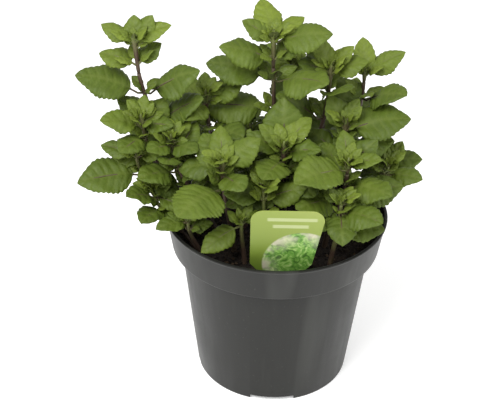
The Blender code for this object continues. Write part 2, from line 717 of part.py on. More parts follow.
def main():
    clear_scene()
    parts = new_collection("potted_mint")
    helpers = new_collection("cutters")
    plastic = new_material("dark_grey_plastic", (0.055, 0.056, 0.050), 0.45)
    soil = new_material("potting_compost", (0.018, 0.013, 0.009), 0.95)
    card = new_material("printed_label", (0.36, 0.46, 0.09), 0.40)
    materials = {
        "stem": new_material("stem", (0.060, 0.040, 0.025), 0.60),
        "young": new_material("young_growth", (0.20, 0.27, 0.06), 0.55),
        "leaf": new_material("leaf", (0.13, 0.20, 0.03), 0.55),
    }
    build_pot(parts, helpers, plastic)
    label_solid("plant_label", 0.0, LABEL_THICKNESS, parts, card)
    label_slot = hide_helper(label_solid("label_slot_cutter", GAP, LABEL_THICKNESS + 2 * GAP, helpers))
    feet = {name: shoot[0] for name, shoot in (SHOOTS | SIDE_SHOOTS).items()}
    build_compost(parts, helpers, soil, feet, label_slot)
    build_plant((parts, helpers), materials)


main()
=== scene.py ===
"""Potted mint plant: the looks.

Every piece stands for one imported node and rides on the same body. The design table and the layout
functions are the ones the solids were made with, so each fine leaf lies where its plain solid is.
Lengths are millimetres and angles degrees until a mesh is made, which is in metres.
"""
import math
import random

import bmesh
import bpy
import numpy as np
from mathutils import Matrix, Vector, noise
from mathutils.bvhtree import BVHTree


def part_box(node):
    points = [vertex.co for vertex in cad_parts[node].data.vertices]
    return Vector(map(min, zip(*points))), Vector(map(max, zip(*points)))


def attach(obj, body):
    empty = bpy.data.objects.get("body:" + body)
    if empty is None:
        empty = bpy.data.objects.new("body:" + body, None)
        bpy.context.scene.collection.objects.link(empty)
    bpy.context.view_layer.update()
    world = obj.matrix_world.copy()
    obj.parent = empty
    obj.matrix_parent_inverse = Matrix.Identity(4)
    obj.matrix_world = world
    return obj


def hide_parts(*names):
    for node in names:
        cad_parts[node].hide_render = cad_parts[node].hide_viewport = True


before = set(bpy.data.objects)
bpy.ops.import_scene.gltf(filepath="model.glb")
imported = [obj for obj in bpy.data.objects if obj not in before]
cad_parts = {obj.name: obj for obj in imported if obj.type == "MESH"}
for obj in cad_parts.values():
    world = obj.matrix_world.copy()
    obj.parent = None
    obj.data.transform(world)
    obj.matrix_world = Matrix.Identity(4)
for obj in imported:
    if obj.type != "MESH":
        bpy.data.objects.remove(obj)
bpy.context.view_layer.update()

MM = 0.001
GAP = 0.35                 # clearance kept between two pieces that touch

# ---- pot
POT_STEPS = 144
RIM_RADIUS = 65.0
POT_HEIGHT = 106.0
FOOT_RADIUS = 46.0
FOOT_HEIGHT = 3.0
WALL = 1.2
BODY_TOP = (55.9, 84.6)    # outer radius and height where the body meets the collar
COLLAR_FOOT = (61.0, 85.2)
COLLAR_TOP = (64.2, 104.6)
PAD_RADIUS = 12.0
FLOOR_TOP = 4.4
DRAIN_RADIUS = 4.0
DRAIN_CIRCLE = 31.0
DRAIN_COUNT = 8

# ---- compost
COMPOST_EDGE = 91.0
COMPOST_CROWN = 94.0
SOCKET_DEPTH = 7.0

# ---- label
LABEL_THICKNESS = 0.6
LABEL_LEFT = -15.0
LABEL_RIGHT = 24.5
LABEL_SHOULDER_RIGHT = 19.0
LABEL_TOP = 141.0          # heights on the label are measured along it, from the standing plane
LABEL_SHOULDER = 104.0     # where the paddle starts to narrow to its stake
LABEL_STAKE_TIP = 48.0
LABEL_FOOT_Y = -38.5       # where the label's plane meets the standing plane
LABEL_LEAN = 7.5           # how far the label leans out over the rim
LABEL_CORNER = 7.0

# ---- plant
STEM_FOOT_RADIUS = 1.7
STEM_TOP_RADIUS = 1.1
STEM_PIECES = 9
BLADE_WIDTH = 0.72         # width over length of a grown leaf
YOUNG_WIDTH = 0.60         # the same for a leaf of the crown
PETIOLE_SHARE = 0.14       # part of a leaf's length that is its stalk
PETIOLE_WIDTH = 1.3
BLADE_THICKNESS = 0.7
LEAF_STATIONS = (0.0, 0.14, 0.32, 0.58, 0.84, 1.0)
LEAF_BEND = 34.0           # how far a leaf's pitch falls from its base to its tip
LIGHT = Vector((0.0, -0.42, 1.0)).normalized()   # the way the blades turn their faces

# A shoot is its foot (x, y), its top (x, y, z), the number of its pairs that belong to its crown,
# and its pairs from the top down: the fraction of the stem's height, then two leaves, each given
# as (azimuth, pitch, length, roll).
SHOOTS = {
    "tall_left": ((-45, 12), (-81, 15, 203), 3, (
        (1.00, (160, 22, 20, 0), (10, 25, 21, 0)),
        (0.97, (95, 66, 18, 0), (35, 58, 20, 0)),
        (0.90, (160, 8, 22, 0), (20, 40, 17, 0)),
        (0.76, (180, 16, 35, 0), (-10, 30, 32, 0)),
        (0.60, (170, 34, 22, 0), (-15, 36, 30, 0)),
        (0.44, (150, 20, 26, 0), (-30, 24, 28, 0)))),
    "tall_middle": ((2, 22), (-4, 25, 203), 3, (
        (1.00, (108, 32, 26, 0), (35, 22, 21, 0)),
        (0.98, (165, 32, 20, 0), (-10, 14, 32, 0)),
        (0.90, (-174, 16, 30, 0), (15, 34, 20, 0)),
        (0.80, (170, 10, 35, 0), (-40, 15, 35, 0)),
        (0.62, (-178, 1, 37, 0), (60, 20, 30, 0)),
        (0.44, (-110, 10, 30, 0), (80, 16, 30, 0)))),
    "tall_right": ((14, 22), (29, 22, 186), 3, (
        (1.00, (138, 54, 20, 0), (20, 45, 17, 0)),
        (0.97, (166, 24, 19, 0), (0, 24, 21, 0)),
        (0.86, (-70, 28, 26, 0), (110, 45, 30, 0)),
        (0.70, (-164, 34, 30, 0), (25, 42, 26, 0)),
        (0.48, (-100, 16, 30, 0), (70, 16, 28, 0)))),
    "far_right": ((34, 28), (49, 30, 179), 1, (
        (1.00, (95, 56, 21, 0), (5, 33, 25, 0)),
        (0.86, (-45, 24, 30, 0), (150, 40, 17, 0)),
        (0.62, (60, 24, 26, 0), (-110, 20, 24, 0)))),
    "middle_right": ((28, 4), (38, 5, 160), 3, (
        (1.00, (40, 58, 15, 0), (135, 36, 13, 0)),
        (0.95, (0, 20, 35, 0), (140, 54, 21, 0)),
        (0.86, (-80, 14, 22, 0), (70, 40, 22, 0)),
        (0.74, (-8, 26, 27, 0), (150, 26, 22, 0)))),
    "front_left": ((-24, -24), (-31, -28, 151), 3, (
        (1.00, (95, 38, 22, 0), (-140, 30, 14, 0)),
        (0.97, (30, 28, 25, 0), (165, -12, 24, 0)),
        (0.90, (-60, 6, 22, 0), (120, 34, 26, 0)),
        (0.78, (-122, 4, 38, 0), (35, -10, 26, 0)))),
    "front_middle": ((5, -8), (3, -8, 151), 3, (
        (1.00, (40, 34, 22, 0), (155, 36, 18, 0)),
        (0.95, (165, 22, 22, 0), (-22, 18, 21, 0)),
        (0.88, (-114, 6, 28, 0), (92, 60, 34, 0)),
        (0.76, (-60, 2, 28, 0), (130, 30, 28, 0)),
        (0.64, (-145, 2, 34, 0), (-15, 14, 30, 0)))),
    "front_right": ((28, -18), (38, -22, 149), 2, (
        (1.00, (100, 44, 19, 0), (-25, 22, 19, 0)),
        (0.95, (-146, 4, 34, 0), (20, 38, 22, 0)),
        (0.80, (-40, 10, 27, 0), (115, 30, 26, 0)),
        (0.62, (-150, 10, 28, 0), (2, 16, 31, 0)))),
    "middle_left": ((-42, -2), (-77, 0, 163), 3, (
        (1.00, (120, 26, 15, 0), (65, 30, 13, 0)),
        (0.96, (-160, 16, 23, 0), (-20, 10, 18, 0)),
        (0.87, (-120, 2, 22, 0), (55, 44, 24, 0)),
        (0.66, (165, 10, 26, 0), (-25, 16, 26, 0)))),
    "inner_left": ((-34, -8), (-60, -8, 155), 3, (
        (1.00, (60, 24, 18, 0), (130, 28, 13, 0)),
        (0.95, (-45, 12, 20, 0), (-130, 12, 18, 0)),
        (0.84, (50, 40, 23, 0), (-100, 20, 20, 0)),
        (0.72, (-48, 24, 28, 0), (-140, 10, 24, 0)),
        (0.52, (20, 10, 28, 0), (-170, 6, 24, 0)))),
    "back_left": ((-24, 20), (-42, 22, 168), 2, (
        (1.00, (95, 34, 15, 0), (30, 20, 15, 0)),
        (0.95, (-118, 20, 23, 0), (15, 30, 24, 0)),
        (0.75, (146, 4, 28, 0), (-50, 14, 27, 0)))),
    "back_middle": ((6, 44), (8, 58, 172), 2, (
        (1.00, (80, 40, 20, 0), (-130, 36, 18, 0)),
        (0.94, (150, 22, 28, 0), (-20, 20, 27, 0)),
        (0.72, (60, 12, 32, 0), (-165, 14, 30, 0)))),
}
# The same for the short shoots, each of which is one piece with its leaves.
SIDE_SHOOTS = {
    "side_right": ((44, -2), (63, 0, 136), (
        (1.00, (55, 34, 17, 0), (140, 40, 13, 0)),
        (0.90, (-32, 10, 21, 0), (150, -16, 16, 0)),
        (0.70, (60, 10, 22, 0), (-120, 4, 20, 0)))),
    "side_left": ((-46, -6), (-80, -5, 142), (
        (1.00, (160, 8, 21, 0), (10, 14, 19, 0)),
        (0.80, (-168, -3, 35, 0), (50, 26, 22, 0)))),
    "low_left": ((-46, -22), (-70, -15, 126), (
        (1.00, (72, 40, 14, 0), (160, 30, 12, 0)),
        (0.90, (-134, 24, 21, 0), (-20, 32, 18, 0)),
        (0.72, (-114, 6, 21, 0), (35, -8, 20, 0)))),
    "rim_left": ((-43, -27), (-50, -30, 115), (
        (1.00, (-145, 6, 19, 0), (66, 10, 15, 0)),
        (0.78, (146, 20, 21, 0), (0, 22, 13, 0)))),
    "front_sprout": ((-18, -36), (-20, -38, 120), (
        (0.95, (-154, -26, 25, 0), (50, 0, 17, 0)),)),
    "label_sprout": ((30, -38), (34, -40, 134), (
        (1.00, (20, -6, 15, 0), (130, 10, 13, 0)),
        (0.90, (-90, -14, 23, 0), (-40, 10, 26, 0)),
        (0.66, (-10, 6, 24, 0), (160, 10, 20, 0)))),
    "low_front": ((-6, -28), (-8, -31, 137), (
        (1.00, (110, 34, 17, 0), (-60, 30, 14, 0)),
        (0.88, (5, 14, 23, 0), (180, 10, 21, 0)),
        (0.68, (-80, -6, 23, 0), (100, 8, 22, 0)))),
    "low_middle": ((18, 4), (19, 0, 140), (
        (1.00, (75, 34, 20, 0), (-100, 26, 16, 0)),
        (0.88, (170, 14, 24, 0), (-10, 14, 24, 0)),
        (0.66, (-70, 4, 25, 0), (110, 10, 25, 0)))),
    "low_inner": ((-18, 0), (-19, -2, 146), (
        (1.00, (115, 34, 20, 0), (-70, 26, 16, 0)),
        (0.88, (-160, 10, 25, 0), (20, 14, 25, 0)),
        (0.66, (-90, 0, 25, 0), (80, 8, 25, 0)))),
    "low_right": ((46, 18), (60, 20, 134), (
        (1.00, (95, 34, 18, 0), (-75, 26, 15, 0)),
        (0.84, (-5, 12, 25, 0), (170, 14, 22, 0)),
        (0.62, (70, 8, 24, 0), (-100, 2, 20, 0)))),
    "back_left_side": ((-34, 36), (-50, 52, 148), (
        (1.00, (100, 30, 20, 0), (-60, 40, 16, 0)),
        (0.86, (175, 16, 27, 0), (20, 20, 24, 0)),
        (0.62, (110, 8, 28, 0), (-120, 10, 22, 0)))),
    "back_right_side": ((32, 42), (46, 56, 146), (
        (1.00, (80, 34, 20, 0), (-110, 40, 16, 0)),
        (0.86, (160, 14, 25, 0), (0, 18, 27, 0)),
        (0.62, (75, 6, 28, 0), (-60, 12, 22, 0)))),
    "back_sprout": ((-8, 50), (-16, 60, 132), (
        (1.00, (90, 22, 22, 0), (-60, 34, 15, 0)),
        (0.82, (150, 10, 24, 0), (20, 12, 24, 0)),
        (0.58, (-110, 8, 22, 0), (80, 6, 25, 0)))),
}


def pot_inner_wall():
    """The inside of the pot, from the floor up, as (radius, height)."""
    slope = (BODY_TOP[0] - FOOT_RADIUS) / BODY_TOP[1]
    floor_radius = FOOT_RADIUS + slope * FLOOR_TOP - WALL
    return [
        (floor_radius, FLOOR_TOP),
        (BODY_TOP[0] - WALL, BODY_TOP[1] + 1.6),
        (COLLAR_FOOT[0] - 1.4, COLLAR_FOOT[1] + 1.6),
        (COLLAR_TOP[0] - 1.2, COLLAR_TOP[1]),
    ]


def compost_height(x, y):
    """The compost's surface: highest in the middle, lowest at the pot's wall."""
    share = min(1.0, math.hypot(x, y) / 60.0)
    return COMPOST_CROWN - (COMPOST_CROWN - COMPOST_EDGE) * share ** 2


# ---- stems and leaves: where they go
def stem_point(foot, top, share):
    """A point of a stem: it leaves the compost leaning out, and turns up towards its top."""
    start = Vector((foot[0], foot[1], compost_height(*foot)))
    reach = Vector(top) - start
    lean = start + Vector((reach.x * 0.25, reach.y * 0.25, reach.z * 0.35))
    turn = start + Vector((reach.x * 0.97, reach.y * 0.97, reach.z * 0.58))
    rest = 1.0 - share
    return (rest ** 3 * start + 3 * rest ** 2 * share * lean
            + 3 * rest * share ** 2 * turn + share ** 3 * Vector(top))


def stem_radius(share):
    return STEM_FOOT_RADIUS + (STEM_TOP_RADIUS - STEM_FOOT_RADIUS) * share


def stem_stations(foot, top, end):
    """Points and radii of a stem from the bottom of its socket to the given share of its height."""
    surface = stem_point(foot, top, 0.0)
    stations = [(surface - Vector((0.0, 0.0, SOCKET_DEPTH)), STEM_FOOT_RADIUS)]
    stations.append((surface + Vector((0.0, 0.0, 0.6)), STEM_FOOT_RADIUS))
    for index in range(1, STEM_PIECES):
        share = end * index / (STEM_PIECES - 1)
        stations.append((stem_point(foot, top, share), stem_radius(share)))
    return stations


def heading(azimuth, pitch):
    turn, rise = math.radians(azimuth), math.radians(pitch)
    return Vector((math.cos(rise) * math.cos(turn), math.cos(rise) * math.sin(turn), math.sin(rise)))


def blade_half_width(share, length, ratio):
    """Half the width of an ovate leaf at a share of its length; the first part is its stalk."""
    along = max(0.0, (share - PETIOLE_SHARE) / (1.0 - PETIOLE_SHARE))
    blade = 2.4 * along ** 0.50 * (1.0 - along) ** 0.80
    return max(PETIOLE_WIDTH / 2, length * (1.0 - PETIOLE_SHARE) * ratio / 2 * blade)


def leaf_frames(base, leaf, ratio, shares):
    """The leaf's centre, side and face directions and half width at each share of its length."""
    azimuth, pitch, length, roll = leaf
    frames = []
    centre = Vector(base)
    last = 0.0
    for share in shares:
        middle = (last + share) / 2
        centre = centre + heading(azimuth, pitch + LEAF_BEND * (0.5 - middle)) * length * (share - last)
        last = share
        along = heading(azimuth, pitch + LEAF_BEND * (0.5 - share))
        side = LIGHT.cross(along).normalized()
        face = along.cross(side)
        turn = math.radians(roll) * min(1.0, share / 0.3)
        side, face = (side * math.cos(turn) + face * math.sin(turn),
                      face * math.cos(turn) - side * math.sin(turn))
        frames.append((centre.copy(), side, face, blade_half_width(share, length, ratio)))
    return frames


def leaf_sections(base, leaf, ratio, extra=0.0):
    """Four corners for each station of a leaf's solid, from its base to its tip."""
    sections = []
    for share, (centre, side, face, half) in zip(
            LEAF_STATIONS, leaf_frames(base, leaf, ratio, LEAF_STATIONS)):
        thick = (BLADE_THICKNESS / 2 + extra) * (0.45 if share == 1.0 else 1.0)
        fold = 0.16 * (half - PETIOLE_WIDTH / 2)
        if share == 1.0:
            half = 0.5
        half += extra
        sections.append((centre + side * half + face * fold, centre + face * thick,
                         centre - side * half + face * fold, centre - face * thick))
    return sections


def loft(sections):
    """Vertices and faces of a closed solid through four-cornered sections."""
    corners = [corner for section in sections for corner in section]
    faces = []
    for index in range(len(sections) - 1):
        first, second = 4 * index, 4 * index + 4
        for side in range(4):
            after = (side + 1) % 4
            faces.append((first + side, first + after, second + after, second + side))
    faces.append((3, 2, 1, 0))
    last = 4 * (len(sections) - 1)
    faces.append((last, last + 1, last + 2, last + 3))
    return corners, faces


def stem_sections(stations, extra=0.0):
    sections = []
    for point, radius in stations:
        wide = radius + extra
        sections.append(tuple(point + Vector((wide * x, wide * y, 0.0))
                              for x, y in ((1, 0), (0, 1), (-1, 0), (0, -1))))
    return sections


def tree_of(sections):
    corners, faces = loft(sections)
    return BVHTree.FromPolygons(corners, faces)


def meets_pot(sections):
    """Whether a leaf comes too near the compost or the pot's collar."""
    for section in sections:
        for corner in section:
            radius = math.hypot(corner.x, corner.y)
            if corner.z < compost_height(corner.x, corner.y) + 1.0:
                return radius < RIM_RADIUS + 1.0
            if corner.z < POT_HEIGHT + 0.8 and RIM_RADIUS - 6.5 < radius < RIM_RADIUS + 1.0:
                return True
    return False


def turns():
    """Changes of azimuth and pitch to try, the smallest first."""
    steps = [(a * 8.0, p * 7.0) for a in range(-6, 7) for p in range(-6, 8)]
    return sorted(steps, key=lambda step: (step[0] ** 2 + step[1] ** 2, step))


def label_space():
    """The space that the label's paddle takes up, as a solid's sections."""
    left, right, half = LABEL_LEFT - 0.6, LABEL_RIGHT + 0.6, 0.7
    lean = math.radians(LABEL_LEAN)
    sections = []
    for along in (96.0, LABEL_TOP + 0.6):
        middle = LABEL_FOOT_Y - math.sin(lean) * along
        height = math.cos(lean) * along
        corners = ((left, -half), (right, -half), (right, half), (left, half))
        sections.append(tuple(Vector((x, middle + y, height)) for x, y in corners))
    return sections


class Thicket:
    """The space that the plant has taken up. A new leaf turns away from what is already there."""

    def __init__(self):
        self.taken = []
        self.taken.append(("label", tree_of(label_space())))

    def add_stem(self, shoot, stations):
        self.taken.append((f"stem_{shoot}", tree_of(stem_sections(stations, GAP))))

    def is_free(self, own, sections):
        tree = tree_of(sections)
        return not meets_pot(sections) and not any(
            other not in own and tree.overlap(obstacle) for other, obstacle in self.taken)

    def settle(self, shoot, owner, base, leaf, ratio):
        """The leaf as it grows there, turned or shortened until it touches nothing, or None."""
        own = (owner, f"stem_{shoot}")
        for shrink in (1.0, 0.88, 0.76, 0.64, 0.52, 0.40):
            for turn, lift in turns():
                azimuth, pitch, length, roll = leaf
                trial = (azimuth + turn, pitch + lift, length * shrink, roll)
                sections = leaf_sections(base, trial, ratio, GAP)
                if self.is_free(own, sections):
                    self.taken.append((owner, tree_of(leaf_sections(base, trial, ratio))))
                    return trial
        return None


def clasp_radius(share):
    """Distance from a stem's middle at which a pair of leaf stalks passes round it."""
    return stem_radius(share) + 1.3


def leaf_base(foot, top, share, azimuth):
    """Where a leaf's stalk starts, beside the stem."""
    outward = heading(azimuth, 0.0) * (clasp_radius(share) + 1.0)
    return stem_point(foot, top, share) + outward


def crown_stations(foot, top, low):
    """The young growing point above the last open pair: a short stem that ends in a bud."""
    start = stem_point(foot, top, low)
    tip = stem_point(foot, top, 1.0)
    along = (tip - start).normalized()
    return [(start + along * GAP, 1.0), (start + along * 2.0, 1.2), (tip, 1.5),
            (tip + along * 2.6, 1.3), (tip + along * 4.6, 0.4)]


# ---- camera, light and floor
CAMERA_RISE = 31.0
CAMERA_ROLL = 1.1
CAMERA_DISTANCE = 650.0
CAMERA_TARGET = Vector((-15.5, 0.0, 112.0))
LENS = 80.3
SENSOR_WIDTH = 36.0
WORLD_STRENGTH = 0.62
FLOOR_SIZE = 6.0               # in metres, like the lamps' places and diameters
FLOOR_GREY = (0.94, 0.94, 0.935, 1.0)
FLOOR_ROUGHNESS = 0.7
FLOOR_GLOW = 0.30
WHITE = (1.0, 1.0, 1.0, 1.0)
LAMP_AIM = Vector((0.0, 0.0, 0.12))
LAMPS = {                      # place, diameter, power
    "key_light": ((-0.45, -0.55, 0.95), 0.8, 13.5),
    "fill_light": ((0.8, -0.3, 0.6), 0.9, 4.5),
}


def link_object(name, data):
    obj = bpy.data.objects.new(name, data)
    bpy.context.scene.collection.objects.link(obj)
    return obj


def add_camera():
    rise, roll = math.radians(CAMERA_RISE), math.radians(CAMERA_ROLL)
    back = Vector((0.0, -math.cos(rise), math.sin(rise)))
    right = Vector((1.0, 0.0, 0.0))
    up = back.cross(right)
    tilted_right = right * math.cos(roll) + up * math.sin(roll)
    tilted_up = up * math.cos(roll) - right * math.sin(roll)
    matrix = Matrix((tilted_right, tilted_up, back)).transposed().to_4x4()
    matrix.translation = (CAMERA_TARGET + back * CAMERA_DISTANCE) * MM
    camera = bpy.data.cameras.new("camera")
    camera.lens = LENS
    camera.sensor_width = SENSOR_WIDTH
    camera.clip_start = 0.01
    obj = link_object("camera", camera)
    obj.matrix_world = matrix
    bpy.context.scene.camera = obj


def add_world():
    world = bpy.data.worlds.new("studio")
    world.use_nodes = True
    background = world.node_tree.nodes["Background"]
    background.inputs["Color"].default_value = WHITE
    background.inputs["Strength"].default_value = WORLD_STRENGTH
    bpy.context.scene.world = world
    bpy.context.scene.view_settings.view_transform = "Standard"


def add_lamp(name, place, diameter, power):
    light = bpy.data.lights.new(name, "AREA")
    light.shape = "DISK"
    light.size = diameter
    light.energy = power
    obj = link_object(name, light)
    obj.location = place
    obj.rotation_euler = (LAMP_AIM - Vector(place)).to_track_quat("-Z", "Y").to_euler()


def add_floor():
    paper = bpy.data.materials.new("floor_paper")
    paper.use_nodes = True
    shader = paper.node_tree.nodes["Principled BSDF"]
    shader.inputs["Base Color"].default_value = FLOOR_GREY
    shader.inputs["Roughness"].default_value = FLOOR_ROUGHNESS
    shader.inputs["Emission Color"].default_value = WHITE
    shader.inputs["Emission Strength"].default_value = FLOOR_GLOW
    bpy.ops.mesh.primitive_plane_add(size=FLOOR_SIZE)
    floor = bpy.context.object
    floor.name = "floor"
    floor.data.materials.append(paper)


# ---- materials
# Linear colours of the two faces of a leaf, and the share of light that passes through it.
LEAF_TOP = {
    "dark": (0.030, 0.049, 0.005), "middle": (0.097, 0.146, 0.013), "bright": (0.205, 0.272, 0.028),
    "vein": (0.17, 0.215, 0.042), "glow": 0.24}
LEAF_UNDERSIDE = {
    "dark": (0.055, 0.080, 0.022), "middle": (0.105, 0.135, 0.038), "bright": (0.17, 0.20, 0.060),
    "vein": (0.19, 0.22, 0.085), "glow": 0.20}

# Heights along the label and places across it, in millimetres.
LABEL_BARS = ((135.2, -6.5, 21.0), (130.6, -3.5, 16.5))      # middle, left end, right end
BAR_HALF_WIDTH = 1.3
BAR_COLOUR = (0.50, 0.54, 0.30)
ARCH_CENTRE = (13.5, 104.5)
ARCH_RADIUS = 22.2
ARCH_BORDER = (12.0, 20.5)     # where the arch starts to turn pale, and where it is palest
ARCH_BORDER_COLOUR = (0.52, 0.47, 0.36)


class Graph:
    """A new material and its node tree, with short ways to add and link nodes."""

    def __init__(self, name, specular):
        self.material = bpy.data.materials.new(name)
        self.material.use_nodes = True
        self.tree = self.material.node_tree
        self.shader = self.tree.nodes["Principled BSDF"]
        self.shader.inputs["Specular IOR Level"].default_value = specular
        self.place = self.add("ShaderNodeTexCoord").outputs["Object"]

    def add(self, kind, **settings):
        node = self.tree.nodes.new(kind)
        for name, value in settings.items():
            setattr(node, name, value)
        return node

    def link(self, source, target):
        self.tree.links.new(source, target)

    def feed(self, socket, value):
        """Links a node's output to a socket, or sets the socket to a colour or a number."""
        if isinstance(value, bpy.types.NodeSocket):
            self.link(value, socket)
        elif isinstance(value, tuple):
            socket.default_value = (*value, 1.0)
        else:
            socket.default_value = value

    def texture(self, kind, place, **values):
        node = self.add(kind)
        self.link(place or self.place, node.inputs["Vector"])
        for name, value in values.items():
            node.inputs[name].default_value = value
        return node

    def noise(self, scale, detail=3.0, rough=0.55, distortion=0.0, place=None):
        node = self.texture("ShaderNodeTexNoise", place, Scale=scale, Detail=detail,
                            Roughness=rough, Distortion=distortion)
        return node.outputs["Fac"]

    def cells(self, scale):
        return self.texture("ShaderNodeTexVoronoi", None, Scale=scale).outputs["Distance"]

    def attribute(self, name):
        return self.add("ShaderNodeAttribute", attribute_name=name).outputs["Fac"]

    def ramp(self, source, stops):
        node = self.add("ShaderNodeValToRGB")
        elements = node.color_ramp.elements
        for index, (position, colour) in enumerate(stops):
            element = elements[index] if index < 2 else elements.new(position)
            element.position = position
            element.color = (*colour, 1.0)
        self.link(source, node.inputs["Fac"])
        return node.outputs["Color"]

    def mix(self, factor, first, second):
        node = self.add("ShaderNodeMix", data_type="RGBA")
        for number, value in ((0, factor), (6, first), (7, second)):
            self.feed(node.inputs[number], value)
        return node.outputs[2]

    def span(self, source, low, high, new_low=0.0, new_high=1.0):
        node = self.add("ShaderNodeMapRange")
        self.link(source, node.inputs["Value"])
        limits = {"From Min": low, "From Max": high, "To Min": new_low, "To Max": new_high}
        for name, value in limits.items():
            node.inputs[name].default_value = value
        return node.outputs["Result"]

    def math(self, operation, first, second=0.0):
        node = self.add("ShaderNodeMath", operation=operation)
        self.feed(node.inputs[0], first)
        self.feed(node.inputs[1], second)
        return node.outputs[0]

    def bump(self, height, strength, distance, below=None):
        node = self.add("ShaderNodeBump")
        node.inputs["Strength"].default_value = strength
        node.inputs["Distance"].default_value = distance
        self.link(height, node.inputs["Height"])
        if below:
            self.link(below, node.inputs["Normal"])
        return node.outputs["Normal"]

    def finish(self, colour, roughness, normal):
        self.link(colour, self.shader.inputs["Base Color"])
        self.link(roughness, self.shader.inputs["Roughness"])
        self.link(normal, self.shader.inputs["Normal"])
        return self.material


def leaf_material(name, dark, middle, bright, vein, glow):
    """Leaf tissue: mottled green, lighter along the veins, finely grained, a little translucent."""
    graph = Graph(name, 0.34)
    tone = graph.math("MULTIPLY", graph.attribute("tone"), 0.75)
    patches = graph.math("MULTIPLY", graph.noise(55.0, 3.0, 0.6), 0.35)
    base = graph.ramp(graph.math("ADD", tone, patches), [(0.12, dark), (0.52, middle), (0.92, bright)])
    speckled = graph.mix(graph.span(graph.noise(900.0, 2.0), 0.35, 0.7, 0.0, 0.22), base, dark)
    lined = graph.mix(graph.math("MULTIPLY", graph.attribute("vein"), 0.42), speckled, vein)
    roughness = graph.span(graph.noise(240.0, 2.0), 0.3, 0.7, 0.48, 0.66)
    cells = graph.bump(graph.cells(1100.0), 0.35, 0.00025)
    graph.finish(lined, roughness, graph.bump(graph.noise(420.0, 3.0), 0.4, 0.0004, cells))
    translucent = graph.add("ShaderNodeBsdfTranslucent")
    graph.link(graph.mix(0.5, lined, bright), translucent.inputs["Color"])
    blend = graph.add("ShaderNodeMixShader")
    blend.inputs["Fac"].default_value = glow
    graph.link(graph.shader.outputs["BSDF"], blend.inputs[1])
    graph.link(translucent.outputs["BSDF"], blend.inputs[2])
    graph.link(blend.outputs["Shader"], graph.tree.nodes["Material Output"].inputs["Surface"])
    return graph.material


def stem_material():
    """Square stem: brown at its foot, purple-brown above, green near the young top."""
    graph = Graph("stem_skin", 0.4)
    patches = graph.span(graph.noise(90.0), 0.3, 0.7, -0.16, 0.16)
    tone = graph.math("ADD", graph.attribute("tone"), patches)
    brown, purple, green = (0.035, 0.022, 0.013), (0.062, 0.035, 0.024), (0.15, 0.185, 0.045)
    colour = graph.ramp(tone, [(0.15, brown), (0.5, purple), (0.95, green)])
    streaks = graph.noise(700.0, 3.0)
    colour = graph.mix(graph.span(streaks, 0.4, 0.75, 0.0, 0.3), colour, (0.09, 0.07, 0.035))
    return graph.finish(colour, graph.span(streaks, 0.3, 0.7, 0.45, 0.65),
                        graph.bump(streaks, 0.4, 0.0003))


def compost_material():
    """Moist dark compost, with paler fibres where the tone attribute is high."""
    graph = Graph("moist_compost", 0.25)
    fine = graph.noise(800.0, 4.0, 0.7)
    wet, damp, dry = (0.006, 0.004, 0.003), (0.015, 0.010, 0.007), (0.035, 0.022, 0.013)
    colour = graph.ramp(graph.noise(180.0, 4.0, 0.7), [(0.3, wet), (0.55, damp), (0.75, dry)])
    colour = graph.mix(graph.attribute("tone"), colour, (0.075, 0.048, 0.027))
    normal = graph.bump(graph.cells(420.0), 0.9, 0.0012, graph.bump(fine, 0.8, 0.0008))
    return graph.finish(colour, graph.span(fine, 0.3, 0.7, 0.75, 0.98), normal)


def pot_material():
    """Thin moulded plastic: satin, with dust and specks, upright flow marks that are rougher and raised,
    and lighter upright streaks and bands painted in as reflection.
    """
    graph = Graph("moulded_pot_plastic", 0.25)
    stretched = graph.add("ShaderNodeMapping")
    stretched.inputs["Scale"].default_value = (1.0, 1.0, 0.05)
    graph.link(graph.place, stretched.inputs["Vector"])
    upright = stretched.outputs["Vector"]
    # upright flow marks: real where they make the plastic rougher and raised, painted reflection where
    # they lighten its colour in thin streaks
    flow_marks_and_reflection_streaks = graph.noise(120.0, 3.0, 0.5, place=upright)
    # painted reflection: broad lighter upright bands, used only in the colour
    painted_reflection_bands = graph.noise(55.0, 1.0, 0.5, place=upright)
    dust = graph.noise(28.0, 5.0, 0.65)
    colour = graph.ramp(dust, [(0.3, (0.0095, 0.0097, 0.0083)), (0.7, (0.0145, 0.0147, 0.0125))])
    # painted reflection: the flow marks lighten the colour in thin upright streaks
    colour = graph.mix(graph.span(flow_marks_and_reflection_streaks, 0.55, 0.8, 0.0, 0.35), colour, (0.040, 0.040, 0.035))
    # painted reflection: the bands lighten the colour
    colour = graph.mix(graph.span(painted_reflection_bands, 0.58, 0.72, 0.0, 0.65), colour, (0.034, 0.035, 0.031))
    specks = graph.span(graph.noise(650.0, 2.0), 0.66, 0.78, 0.0, 0.5)
    colour = graph.mix(specks, colour, (0.050, 0.049, 0.042))
    roughness = graph.span(graph.math("ADD", flow_marks_and_reflection_streaks, dust), 0.7, 1.3, 0.36, 0.52)
    normal = graph.bump(graph.noise(1500.0, 2.0), 0.12, 0.0002, graph.bump(flow_marks_and_reflection_streaks, 0.12, 0.0006))
    return graph.finish(colour, roughness, normal)


def bar_mask(graph, x, along, middle, left, right):
    """1 inside a plain bar across the label and 0 outside it, soft at its edges."""
    apart = graph.math("ABSOLUTE", graph.math("SUBTRACT", along, middle * MM))
    mask = graph.span(apart, BAR_HALF_WIDTH * MM, (BAR_HALF_WIDTH - 0.4) * MM)
    mask = graph.math("MULTIPLY", mask, graph.span(x, left * MM, (left + 1.0) * MM))
    return graph.math("MULTIPLY", mask, graph.span(x, right * MM, (right - 1.0) * MM))


